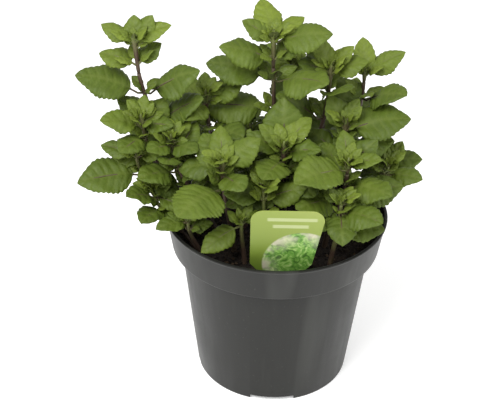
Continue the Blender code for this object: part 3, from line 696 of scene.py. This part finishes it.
def leafy_arch(graph, reach):
    """A generic pattern of fresh greens that pales towards the arch's border."""
    leafy = graph.ramp(graph.noise(230.0, 2.0, 0.6, 1.6), [
        (0.34, (0.045, 0.115, 0.016)), (0.46, (0.10, 0.24, 0.035)),
        (0.56, (0.17, 0.34, 0.060)), (0.70, (0.36, 0.50, 0.17))])
    near, far = ARCH_BORDER
    flecks = graph.span(graph.noise(130.0, 2.0), 0.38, 0.60)
    pale = graph.math("MULTIPLY", graph.span(reach, near * MM, far * MM), flecks)
    return graph.mix(graph.math("MULTIPLY", pale, 0.8), leafy, ARCH_BORDER_COLOUR)


def label_material():
    """A plain label: a yellow-green field, two pale bars, and an arch of leafy greens."""
    graph = Graph("printed_label", 0.4)
    parts = graph.add("ShaderNodeSeparateXYZ")
    graph.link(graph.place, parts.inputs["Vector"])
    x, along = parts.outputs["X"], parts.outputs["Y"]
    slant = graph.math("ADD", along, graph.math("MULTIPLY", x, 0.35))
    colour = graph.ramp(graph.span(slant, 0.098, 0.150), [
        (0.0, (0.11, 0.17, 0.020)), (0.45, (0.185, 0.245, 0.036)),
        (0.8, (0.225, 0.285, 0.050)), (1.0, (0.27, 0.32, 0.075))])
    for bar in LABEL_BARS:
        mask = graph.math("MULTIPLY", bar_mask(graph, x, along, *bar), 0.55)
        colour = graph.mix(mask, colour, BAR_COLOUR)
    dx = graph.math("SUBTRACT", x, ARCH_CENTRE[0] * MM)
    dy = graph.math("SUBTRACT", along, ARCH_CENTRE[1] * MM)
    squares = graph.math("ADD", graph.math("MULTIPLY", dx, dx), graph.math("MULTIPLY", dy, dy))
    reach = graph.math("SQRT", squares)
    inside = graph.span(reach, ARCH_RADIUS * MM, (ARCH_RADIUS - 0.8) * MM)
    colour = graph.mix(inside, colour, leafy_arch(graph, reach))
    grain = graph.noise(1800.0, 2.0)
    return graph.finish(colour, graph.span(grain, 0.3, 0.7, 0.34, 0.46),
                        graph.bump(grain, 0.1, 0.0001))


# ---- pieces and tubes
TOP_SIDE, UNDER_SIDE, STALK = 0, 1, 2      # the material slots of a piece with leaves


class Shapes:
    """Collects the vertices, faces and attributes of one piece, in millimetres."""

    def __init__(self):
        self.points = []
        self.faces = []
        self.tone = []
        self.vein = []
        self.skins = []

    def add(self, points, faces, tone, vein=0.0, skin=TOP_SIDE):
        start = sum(len(block) for block in self.points)
        points = np.asarray(points, float)
        self.points.append(points)
        self.faces.extend([tuple(start + corner for corner in face) for face in faces])
        self.tone.append(np.broadcast_to(np.asarray(tone, float), len(points)))
        self.vein.append(np.broadcast_to(np.asarray(vein, float), len(points)))
        self.skins.extend([skin] * len(faces) if isinstance(skin, int) else skin)

    def make(self, node, materials):
        """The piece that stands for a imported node."""
        mesh = bpy.data.meshes.new(f"fine_{node}")
        mesh.from_pydata(np.concatenate(self.points) * MM, [], self.faces)
        for material in materials:
            mesh.materials.append(material)
        mesh.polygons.foreach_set("material_index", self.skins)
        for name, values in (("tone", self.tone), ("vein", self.vein)):
            attribute = mesh.attributes.new(name, "FLOAT", "POINT")
            attribute.data.foreach_set("value", np.concatenate(values))
        mesh.shade_smooth()
        mesh.update()
        obj = link_object(f"fine_{node}", mesh)
        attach(obj, "root")
        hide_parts(node)


def tube(shapes, path, radii, tone, sides, square=0.0, skin=TOP_SIDE):
    """A closed tube along a path; square makes its section a rounded square."""
    rows = []
    for index, (centre, radius) in enumerate(zip(path, radii)):
        along = (path[min(index + 1, len(path) - 1)] - path[max(index - 1, 0)]).normalized()
        across = Vector((0, 1, 0)) if abs(along.z) > 0.7 else Vector((0, 0, 1))
        side = across.cross(along).normalized()
        up = along.cross(side)
        for step in range(sides):
            angle = 2 * math.pi * step / sides
            wide = radius * (1 + square * math.cos(4 * angle))
            rows.append(centre + (side * math.cos(angle) + up * math.sin(angle)) * wide)
    faces = []
    for ring in range(len(path) - 1):
        low, high = ring * sides, (ring + 1) * sides
        for step in range(sides):
            after = (step + 1) % sides
            faces.append((low + step, low + after, high + after, high + step))
    faces.append(tuple(reversed(range(sides))))
    faces.append(tuple(range((len(path) - 1) * sides, len(path) * sides)))
    tones = np.repeat(np.broadcast_to(np.asarray(tone, float), len(path)), sides)
    shapes.add(rows, faces, tones, skin=skin)


# ---- leaves
FULLER_LENGTH = 1.06       # the fine leaves are a little longer and wider than their solids
FULLER_WIDTH = 1.12
TOOTH_DEPTH = 0.078        # share of the half width
PUCKER = 0.40              # how high the tissue stands between two side veins
CREASE = 0.66              # how much lower it lies along a side vein
CREASE_WIDTH = 0.13        # share of the distance between two side veins
VEIN_SLANT = 1.25
VEIN_STAGGER = 0.25        # side veins alternate left and right
MIDRIB_WIDTH = 0.42
EDGE_WAVES = 11.0
LUMPS = 0.13
BLADE_START = PETIOLE_SHARE * 0.85
RIM_THICKNESS = 0.14
MIDDLE_THICKNESS = 0.34
STALK_STATIONS = 12
YOUNG_TIP_LEAVES = ((11.0, 48), (10.0, 50), (7.5, 62), (7.0, 60), (5.0, 74), (4.6, 72))   # length, pitch


def blade_habit(rand, length):
    """What sets one blade apart from the next."""
    return {
        "phase": rand.uniform(0, 6.28),
        "veins": max(4.0, length * 0.19),
        "wave": rand.uniform(0.05, 0.15),
        "fold": rand.uniform(0.06, 0.28),
        "cup": rand.uniform(0.16, 0.46),
    }


def blade_height(half, along, across, habit):
    """How high a point stands over the flat blade, and how much of a vein it is."""
    reach = abs(across)
    right = across > 0
    rank = along * habit["veins"] - reach * VEIN_SLANT + (VEIN_STAGGER if right else 0.0)
    crease = math.exp(-((rank - round(rank)) / CREASE_WIDTH) ** 2)
    body = math.sin(math.pi * min(1.0, reach * 1.02)) ** 0.7 if reach < 0.98 else 0.0
    fold = habit["fold"] * math.sqrt(reach * reach + 0.004)
    cup = habit["cup"] * reach ** 2.4
    swing = math.sin(habit["phase"] + along * EDGE_WAVES + (1.7 if right else 0.0))
    lump = noise.noise(Vector((along * 3.1 + habit["phase"], across * 1.7, habit["phase"] * 2.3)))
    height = half * (fold - cup + habit["wave"] * reach ** 3 * swing + LUMPS * lump)
    height += min(1.0, half / 4.0) * body * (PUCKER - CREASE * crease)
    midrib = math.exp(-(reach * half / MIDRIB_WIDTH) ** 2)
    vein = max(midrib, crease * 0.8 * min(1.0, 1.3 - reach)) * min(1.0, half / 2.0)
    return height, vein


def toothed_half_width(share, along, half, teeth):
    if share >= 1.0:
        return 0.12
    beat = (along * teeth + 0.3) % 1.0
    tooth = math.sin(math.pi * beat ** 1.5) ** 0.8 - 0.35
    return max(0.25, half * (1.0 + TOOTH_DEPTH * tooth * min(1.0, half / 2.2)))


def blade_grid(base, leaf, ratio, rand, rows, columns):
    """Points and vein strengths of a blade's upper side, and the way its middle faces."""
    length = leaf[2]
    teeth = max(5, int(length * 0.31))
    shares = [BLADE_START + (1 - BLADE_START) * (index / rows) for index in range(rows + 1)]
    frames = leaf_frames(base, leaf, ratio, [0.0, *shares])[1:]
    habit = blade_habit(rand, length)
    narrowing = 1.0 - 0.05 * habit["fold"]
    points, veins = [], []
    for share, (centre, side, face, half) in zip(shares, frames):
        along = max(0.0, (share - PETIOLE_SHARE) / (1.0 - PETIOLE_SHARE))
        half = toothed_half_width(share, along, half, teeth)
        for column in range(-columns, columns + 1):
            across = math.copysign(abs(column / columns) ** 0.85, column)
            height, vein = blade_height(half, along, across, habit)
            points.append(centre + side * (half * across * narrowing) + face * height)
            veins.append(vein)
    grid = np.array(points).reshape(rows + 1, 2 * columns + 1, 3)
    return grid, np.array(veins), np.array(frames[rows // 2][2])


def grid_normals(grid, facing):
    normals = np.cross(np.gradient(grid, axis=0), np.gradient(grid, axis=1))
    normals /= np.maximum(np.linalg.norm(normals, axis=2, keepdims=True), 1e-9)
    return -normals if np.dot(normals.reshape(-1, 3).mean(axis=0), facing) < 0 else normals


def sheet_faces(rows, wide):
    """Faces of a thin closed sheet: its upper side, its underside and the rim between them."""
    count = (rows + 1) * wide
    faces, skins = [], []
    for row in range(rows):
        for column in range(wide - 1):
            first = row * wide + column
            quad = (first, first + 1, first + wide + 1, first + wide)
            faces += [quad, tuple(count + corner for corner in reversed(quad))]
            skins += [TOP_SIDE, UNDER_SIDE]
    rim = list(range(wide)) + [(row + 2) * wide - 1 for row in range(rows)]
    rim += [rows * wide + column for column in range(wide - 2, -1, -1)]
    rim += [row * wide for row in range(rows - 1, 0, -1)]
    for first, second in zip(rim, rim[1:] + rim[:1]):
        faces.append((second, first, count + first, count + second))
        skins.append(TOP_SIDE)
    return faces, skins


def add_blade(shapes, base, leaf, ratio, rand, tone):
    """A thin blade with a toothed edge, raised between its veins."""
    rows = max(22, int(leaf[2] * 1.9))
    columns = 7 if leaf[2] > 13 else 5
    wide = 2 * columns + 1
    grid, veins, facing = blade_grid(base, leaf, ratio, rand, rows, columns)
    normals = grid_normals(grid, facing)
    edge = np.linspace(-1, 1, wide)[None, :, None] ** 2
    under = grid - normals * (MIDDLE_THICKNESS + (RIM_THICKNESS - MIDDLE_THICKNESS) * edge)
    faces, skins = sheet_faces(rows, wide)
    above, below = grid.reshape(-1, 3), under.reshape(-1, 3)
    winding = np.cross(above[1] - above[0], above[wide] - above[0])
    if np.dot(winding, normals[0, 0]) < 0:
        faces = [tuple(reversed(face)) for face in faces]
    tones = tone + np.array([rand.uniform(-0.02, 0.02) for _ in above])
    shapes.add(np.concatenate([above, below]), faces, np.tile(tones, 2), np.tile(veins, 2), skins)


def add_leaf(shapes, start, base, leaf, ratio, seed, tone):
    """A blade, and the stalk that carries it and goes on as its midrib."""
    azimuth, pitch, length, roll = leaf
    leaf = (azimuth, pitch, length * FULLER_LENGTH, roll)
    ratio *= FULLER_WIDTH
    add_blade(shapes, base, leaf, ratio, random.Random(seed), tone)
    shares = [index / STALK_STATIONS for index in range(STALK_STATIONS)]
    path, radii = [start], [0.7]
    for index, (centre, _, face, _) in enumerate(leaf_frames(base, leaf, ratio, shares)):
        path.append(centre - face * (0.4 if index > 1 else 0.3))
        radii.append(0.62 - 0.036 * index)
    tube(shapes, path, radii, tone * 0.6 + 0.35, 8, skin=STALK)


def add_young_tip(shapes, tip, seed, tone):
    """The unopened leaves at the very top of a shoot: small, upright, in crossed pairs."""
    rand = random.Random(seed)
    turn = rand.uniform(0, 90)
    for index, (length, steepness) in enumerate(YOUNG_TIP_LEAVES):
        pair = index // 2
        pitch = steepness + rand.uniform(-6, 6)
        azimuth = turn + 180 * (index % 2) + 90 * pair + rand.uniform(-10, 10)
        base = tip + heading(azimuth, 0) * 0.5 + Vector((0, 0, 0.7 * pair))
        young_tone = min(1.0, tone + 0.12 + 0.03 * index)
        add_leaf(shapes, tip, base, (azimuth, pitch, length, 0), 0.56, seed * 31 + index, young_tone)


def add_axil_leaves(shapes, centre, pair, rand, tone, size=1.0):
    """The small leaves that sprout where each leaf of a pair leaves the stem."""
    for azimuth, *_ in pair:
        for turn in (-1, 1):
            way = azimuth + turn * rand.uniform(26, 48)
            pitch = rand.uniform(18, 52)
            small = (way, pitch, size * rand.uniform(8.5, 14.5), rand.uniform(-15, 15))
            base = centre + heading(way, 0) * 1.3 + Vector((0, 0, rand.uniform(0.6, 2.0)))
            add_leaf(shapes, centre, base, small, 0.62, rand.random(), min(0.95, tone + 0.12))


# ---- shoots
MAIN_STEM = 0.86           # fine radius over the solid's, whose corners stand out further
SIDE_STEM = 0.80
STEM_SQUARENESS = 0.10


def stem_path(foot, top, end, count, dips):
    """Points up a stem: the given depths down its socket, then evenly up to a share of its height."""
    surface = stem_point(foot, top, 0.0)
    below = [surface - Vector((0, 0, dip)) for dip in dips]
    return below + [stem_point(foot, top, end * index / count) for index in range(count + 1)]


def make_stem(node, foot, top, end, materials):
    count = 40
    path = stem_path(foot, top, end, count, (SOCKET_DEPTH, 1.0))
    radii = [STEM_FOOT_RADIUS * MAIN_STEM] * 2
    radii += [stem_radius(end * index / count) * MAIN_STEM for index in range(count + 1)]
    tones = [0.1, 0.1] + [0.12 + 0.42 * (index / count) ** 1.5 for index in range(count + 1)]
    shapes = Shapes()
    tube(shapes, path, radii, tones, 16, STEM_SQUARENESS)
    shapes.make(node, [materials["stem"]])


def settle_pairs(thicket, name, owner, foot, top, pairs):
    """The leaves of a crown or a short shoot, in the places that are free for them."""
    grown = []
    for index, (share, *pair) in enumerate(pairs):
        centre = stem_point(foot, top, share)
        ratio = YOUNG_WIDTH if index == 0 else BLADE_WIDTH
        for leaf in pair:
            base = centre + heading(leaf[0], 0.0) * 0.8
            settled = thicket.settle(name, owner, base, leaf, ratio)
            if settled:
                grown.append((index, centre, base, settled, ratio))
    return grown


def leaf_tone(place, index, rand):
    """How bright a leaf is: the top ones are young and yellowish; the low ones are deep green and made
    darker still with painted shade, as deep in the foliage.
    """
    # painted shade: the lower a leaf sits, the darker it is made
    rise = (place.z - 100.0) / 110.0
    youth = 0.16 if index == 0 else 0.0
    return max(0.05, min(0.95, 0.30 + 0.34 * rise + youth + rand.uniform(-0.12, 0.14)))


def leafy_skins(materials):
    return [materials["leaf"], materials["underside"], materials["stem"]]


def build_crown(number, name, shoot, crown_low, thicket, rand, materials):
    """A shoot's growing point with its youngest leaves."""
    foot, top, crown_pairs, pairs = shoot
    owner = f"crown_{name}"
    crown = Shapes()
    stations = crown_stations(foot, top, crown_low)
    tube(crown, [place for place, _ in stations], [radius * MAIN_STEM for _, radius in stations],
         [0.5, 0.55, 0.7, 0.85, 0.95], 12, 0.08, STALK)
    young = settle_pairs(thicket, name, owner, foot, top, pairs[:crown_pairs])
    for index, centre, base, leaf, ratio in young:
        tone = leaf_tone(base, index, rand)
        add_leaf(crown, centre, base, leaf, ratio, rand.random(), tone)
        add_axil_leaves(crown, centre, [leaf], rand, min(0.9, tone + 0.05), 0.85)
    add_young_tip(crown, stations[2][0], number + 1, 0.6)
    crown.make(owner, leafy_skins(materials))


def build_leaf_pair(name, owner, shoot, share, pair, thicket, rand, materials):
    """An open pair of leaves, if both find room."""
    foot, top, *_ = shoot
    bases = [leaf_base(foot, top, share, leaf[0]) for leaf in pair]
    grown = [thicket.settle(name, owner, base, leaf, BLADE_WIDTH) for base, leaf in zip(bases, pair)]
    if None in grown:
        return
    shapes = Shapes()
    centre = stem_point(foot, top, share)
    for base, leaf in zip(bases, grown):
        add_leaf(shapes, centre, base, leaf, BLADE_WIDTH, rand.random(), leaf_tone(base, 2, rand))
    add_axil_leaves(shapes, centre, grown, rand, leaf_tone(centre, 1, rand))
    shapes.make(owner, leafy_skins(materials))


def build_shoot(number, name, shoot, thicket, materials):
    """One full shoot: its stem, its crown and its open pairs of leaves."""
    foot, top, crown_pairs, pairs = shoot
    rand = random.Random(number * 17 + 3)
    crown_low = pairs[crown_pairs - 1][0] - 0.04
    make_stem(f"stem_{name}", foot, top, crown_low, materials)
    build_crown(number, name, shoot, crown_low, thicket, rand, materials)
    for index, (share, *pair) in enumerate(pairs[crown_pairs:], 1):
        build_leaf_pair(name, f"leaves_{name}_{index}", shoot, share, pair, thicket, rand, materials)


def build_side_shoot(number, name, shoot, thicket, materials):
    """A short shoot that is one piece with its few leaves."""
    foot, top, pairs = shoot
    rand = random.Random(number * 23 + 5)
    owner = f"shoot_{name}"
    count = 30
    radii = [STEM_FOOT_RADIUS * SIDE_STEM]
    radii += [stem_radius(index / count) * SIDE_STEM for index in range(count + 1)]
    tones = [0.3] + [0.35 + 0.5 * index / count for index in range(count + 1)]
    shapes = Shapes()
    path = stem_path(foot, top, 1.0, count, (SOCKET_DEPTH,))
    tube(shapes, path, radii, tones, 14, STEM_SQUARENESS, STALK)
    for index, centre, base, leaf, ratio in settle_pairs(thicket, name, owner, foot, top, pairs):
        add_leaf(shapes, centre, base, leaf, ratio, rand.random(), leaf_tone(base, index, rand))
        add_axil_leaves(shapes, centre, [leaf], rand, leaf_tone(base, 0, rand), 0.8)
    add_young_tip(shapes, stem_point(foot, top, 1.0), number + 40, 0.55)
    shapes.make(owner, leafy_skins(materials))


def build_plant(materials):
    """All shoots. Their stems are known to the thicket before the first leaf looks for room."""
    thicket = Thicket()
    for name, (foot, top, *_) in (SHOOTS | SIDE_SHOOTS).items():
        thicket.add_stem(name, stem_stations(foot, top, 1.0))
    for number, (name, shoot) in enumerate(SHOOTS.items()):
        build_shoot(number, name, shoot, thicket, materials)
    for number, (name, shoot) in enumerate(SIDE_SHOOTS.items()):
        build_side_shoot(number, name, shoot, thicket, materials)


# ---- compost
COMPOST_RINGS = 70
COMPOST_STEPS = 200
CRUMB_COUNT = 900
CRUMB_TONES = (0.0, 0.0, 0.1, 0.3, 0.8)
CRUMB_CORNERS = ((1, 0, 0), (0, 1, 0), (-1, 0, 0), (0, -1, 0), (0, 0, 1), (0, 0, -1))
CRUMB_FACES = ((0, 1, 4), (1, 2, 4), (2, 3, 4), (3, 0, 4), (1, 0, 5), (2, 1, 5), (3, 2, 5), (0, 3, 5))


def circle(radius):
    """Points (x, y) round the pot's axis."""
    angles = [2 * math.pi * step / COMPOST_STEPS for step in range(COMPOST_STEPS)]
    return [(radius * math.cos(angle), radius * math.sin(angle)) for angle in angles]


def rough_height(x, y):
    """The compost's lumpy surface, a little under the smooth one on average."""
    height = compost_height(x, y) - 0.6
    height += 1.5 * noise.noise(Vector((x, y, 0)) * 0.11)
    height += 0.9 * noise.noise(Vector((x, y, 5)) * 0.42)
    height += 0.5 * noise.noise(Vector((x, y, 9)) * 1.1)
    return min(height, COMPOST_CROWN + 1.0)


def add_crumb(shapes, centre, size, rand):
    """A small angular lump: a stretched eight-sided ball."""
    stretch = Vector((rand.uniform(0.7, 1.6), rand.uniform(0.6, 1.2), rand.uniform(0.4, 0.9))) * size
    spin = Matrix.Rotation(rand.uniform(0, 6.283), 3, "Z")
    turn = spin @ Matrix.Rotation(rand.uniform(-0.6, 0.6), 3, "X")
    points = [centre + turn @ (Vector(corner) * stretch) for corner in CRUMB_CORNERS]
    shapes.add(points, CRUMB_FACES, rand.choice(CRUMB_TONES))


def build_compost(material):
    """The filling: a lumpy top over plain sides and bottom, with loose crumbs on it."""
    shapes = Shapes()
    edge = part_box("potting_compost")[1][0] / MM - 0.4
    points = [(0.0, 0.0, COMPOST_CROWN)]
    for ring in range(1, COMPOST_RINGS + 1):
        points += [(x, y, rough_height(x, y)) for x, y in circle(edge * ring / COMPOST_RINGS)]
    lower = ((edge - 1.2, 87.6), (54.2, 86.4), (44.9, 5.0))
    for radius, height in lower:
        points += [(x, y, height) for x, y in circle(radius)]
    faces = [(0, 1 + step, 1 + (step + 1) % COMPOST_STEPS) for step in range(COMPOST_STEPS)]
    last = COMPOST_RINGS + len(lower) - 1
    for ring in range(last):
        low = 1 + ring * COMPOST_STEPS
        high = low + COMPOST_STEPS
        for step in range(COMPOST_STEPS):
            after = (step + 1) % COMPOST_STEPS
            faces.append((low + step, high + step, high + after, low + after))
    faces.append(tuple(reversed(range(1 + last * COMPOST_STEPS, len(points)))))
    shapes.add(points, faces, 0.0)
    rand = random.Random(7)
    for _ in range(CRUMB_COUNT):
        radius = edge * math.sqrt(rand.random()) * 0.97
        angle = rand.uniform(0, 6.283)
        x, y = radius * math.cos(angle), radius * math.sin(angle)
        size = rand.uniform(0.5, 1.6)
        add_crumb(shapes, Vector((x, y, compost_height(x, y) - 0.2 + size * 0.2)), size, rand)
    shapes.make("potting_compost", [material])


# ---- pot
FOOT_GAP_DEPTH = 9.84      # across the foot ring
FOOT_GAP_LENGTH = 35.43    # along it


def pot_outline():
    """The pot's section as (radius, height): up the inside, over the rim and down the outside."""
    lip_inner = COLLAR_TOP[0] - WALL
    inside = [(0.0, FLOOR_TOP), *pot_inner_wall(), (lip_inner, POT_HEIGHT - 0.5)]
    lip = [(lip_inner + 0.15, POT_HEIGHT - 0.15), (lip_inner + 0.5, POT_HEIGHT),
           (RIM_RADIUS - 0.5, POT_HEIGHT), (RIM_RADIUS - 0.15, POT_HEIGHT - 0.15),
           (RIM_RADIUS, POT_HEIGHT - 0.5), (RIM_RADIUS - 0.05, COLLAR_TOP[1] + 0.5)]
    collar = [(COLLAR_TOP[0] + 0.2, COLLAR_TOP[1]), (COLLAR_TOP[0] - 0.1, COLLAR_TOP[1] - 0.9),
              (COLLAR_FOOT[0] + 0.15, COLLAR_FOOT[1] + 0.9),
              (COLLAR_FOOT[0] - 0.1, COLLAR_FOOT[1] + 0.2), (COLLAR_FOOT[0] - 0.6, COLLAR_FOOT[1] - 0.1)]
    body = [(BODY_TOP[0] + 0.7, BODY_TOP[1]), (BODY_TOP[0] + 0.1, BODY_TOP[1] - 0.3),
            (BODY_TOP[0] - 0.1, BODY_TOP[1] - 1.2)]
    foot = [(FOOT_RADIUS + 0.2, 1.4), (FOOT_RADIUS, 0.5), (FOOT_RADIUS - 0.3, 0.1),
            (FOOT_RADIUS - 0.6, 0.0), (FOOT_RADIUS - 1.6, 0.0), (FOOT_RADIUS - 1.6, FOOT_HEIGHT)]
    pad = [(PAD_RADIUS + 1.0, FOOT_HEIGHT), (PAD_RADIUS, 0.0), (0.0, 0.0)]
    return inside + lip + collar + body + foot + pad


def cylinder_cutter(name, radius, low, high, sides):
    mesh = bpy.data.meshes.new(name)
    shape = bmesh.new()
    bmesh.ops.create_cone(shape, cap_ends=True, segments=sides, radius1=radius * MM,
                          radius2=radius * MM, depth=(high - low) * MM)
    bmesh.ops.translate(shape, verts=list(shape.verts), vec=(0.0, 0.0, (low + high) / 2 * MM))
    shape.to_mesh(mesh)
    shape.free()
    return link_object(name, mesh)


def foot_gap_cutter(index):
    """A straight bar across the foot ring at one side of the pot."""
    half_diagonal = math.sqrt(0.5)
    cutter = cylinder_cutter(f"foot_gap_{index}", half_diagonal, -2.0, FOOT_HEIGHT - 0.25, 4)
    size = Matrix.Diagonal((FOOT_GAP_DEPTH, FOOT_GAP_LENGTH, 1.0, 1.0))
    turn = Matrix.Rotation(math.radians(90 * index), 4, "Z")
    shift = Matrix.Translation((FOOT_RADIUS * MM, 0, 0))
    cutter.matrix_world = turn @ shift @ size @ Matrix.Rotation(math.pi / 4, 4, "Z")
    return cutter


def drain_cutter(index):
    angle = math.radians(22.5 + index * 360.0 / DRAIN_COUNT)
    cutter = cylinder_cutter(f"drain_{index}", DRAIN_RADIUS, 0.5, 6.0, 32)
    reach = DRAIN_CIRCLE * MM
    cutter.location = (reach * math.cos(angle), reach * math.sin(angle), 0)
    return cutter


def build_pot(material):
    """The pot with a rounded rim, soft edges at its collar, an interrupted foot and drain holes."""
    outline = pot_outline()
    mesh = bpy.data.meshes.new("fine_pot")
    mesh.from_pydata([(radius * MM, 0.0, height * MM) for radius, height in outline],
                     [(index, index + 1) for index in range(len(outline) - 1)], [])
    pot = link_object("fine_pot", mesh)
    screw = pot.modifiers.new("turn", "SCREW")
    screw.steps = screw.render_steps = POT_STEPS
    screw.use_merge_vertices = True
    screw.merge_threshold = 0.00001
    cutters = [foot_gap_cutter(index) for index in range(4)]
    cutters += [drain_cutter(index) for index in range(DRAIN_COUNT)]
    for cutter in cutters:
        modifier = pot.modifiers.new(cutter.name, "BOOLEAN")
        modifier.operation = "DIFFERENCE"
        modifier.solver = "EXACT"
        modifier.object = cutter
    bpy.context.view_layer.update()
    graph = bpy.context.evaluated_depsgraph_get()
    solid = bpy.data.meshes.new_from_object(pot.evaluated_get(graph))
    pot.modifiers.clear()
    pot.data = solid
    for cutter in cutters:
        bpy.data.objects.remove(cutter)
    solid.shade_smooth()
    solid.set_sharp_from_angle(angle=math.radians(42))
    solid.materials.clear()
    solid.materials.append(material)
    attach(pot, "root")
    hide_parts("pot")


# ---- label
STAKE_HALF_WIDTH = 5.5     # under the paddle
STAKE_TIP_HALF_WIDTH = 4.5
SHOULDER_DROP = 14.0       # from the paddle's lower corners to the stake
STAKE_POINT = 8.0
CORNER_STEPS = 12


def label_points():
    """The label's outline, the same as its solid's but with rounder corners."""
    middle = (LABEL_LEFT + LABEL_SHOULDER_RIGHT) / 2
    neck, tip = LABEL_SHOULDER - SHOULDER_DROP, LABEL_STAKE_TIP + STAKE_POINT
    points = [(LABEL_LEFT, LABEL_SHOULDER), (middle - STAKE_HALF_WIDTH, neck),
              (middle - STAKE_TIP_HALF_WIDTH, tip), (middle, LABEL_STAKE_TIP),
              (middle + STAKE_TIP_HALF_WIDTH, tip), (middle + STAKE_HALF_WIDTH, neck),
              (LABEL_SHOULDER_RIGHT, LABEL_SHOULDER)]
    for start, x in ((0, LABEL_RIGHT - LABEL_CORNER), (90, LABEL_LEFT + LABEL_CORNER)):
        for step in range(CORNER_STEPS + 1):
            angle = math.radians(start + 90 * step / CORNER_STEPS)
            points.append((x + LABEL_CORNER * math.cos(angle),
                           LABEL_TOP - LABEL_CORNER + LABEL_CORNER * math.sin(angle)))
    return points


def build_label(material):
    """The label's paddle and stake as a thin plate."""
    mesh = bpy.data.meshes.new("fine_plant_label")
    shape = bmesh.new()
    half = LABEL_THICKNESS / 2 * MM
    outline = shape.faces.new([shape.verts.new((x * MM, y * MM, -half)) for x, y in label_points()])
    raised = bmesh.ops.extrude_face_region(shape, geom=[outline])
    top = [item for item in raised["geom"] if isinstance(item, bmesh.types.BMVert)]
    bmesh.ops.translate(shape, verts=top, vec=(0, 0, 2 * half))
    bmesh.ops.recalc_face_normals(shape, faces=list(shape.faces))
    shape.to_mesh(mesh)
    shape.free()
    mesh.materials.append(material)
    label = link_object("fine_plant_label", mesh)
    label.rotation_euler.x = math.radians(90 + LABEL_LEAN)
    label.location.y = LABEL_FOOT_Y * MM
    bevel = label.modifiers.new("edge", "BEVEL")
    bevel.width = 0.15 * MM
    bevel.segments = 2
    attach(label, "root")
    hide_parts("plant_label")


def main():
    add_camera()
    add_world()
    for name, lamp in LAMPS.items():
        add_lamp(name, *lamp)
    add_floor()
    build_plant({
        "leaf": leaf_material("leaf_top", **LEAF_TOP),
        "underside": leaf_material("leaf_underside", **LEAF_UNDERSIDE),
        "stem": stem_material(),
    })
    build_compost(compost_material())
    build_pot(pot_material())
    build_label(label_material())


main()
bpy.context.view_layer.update()
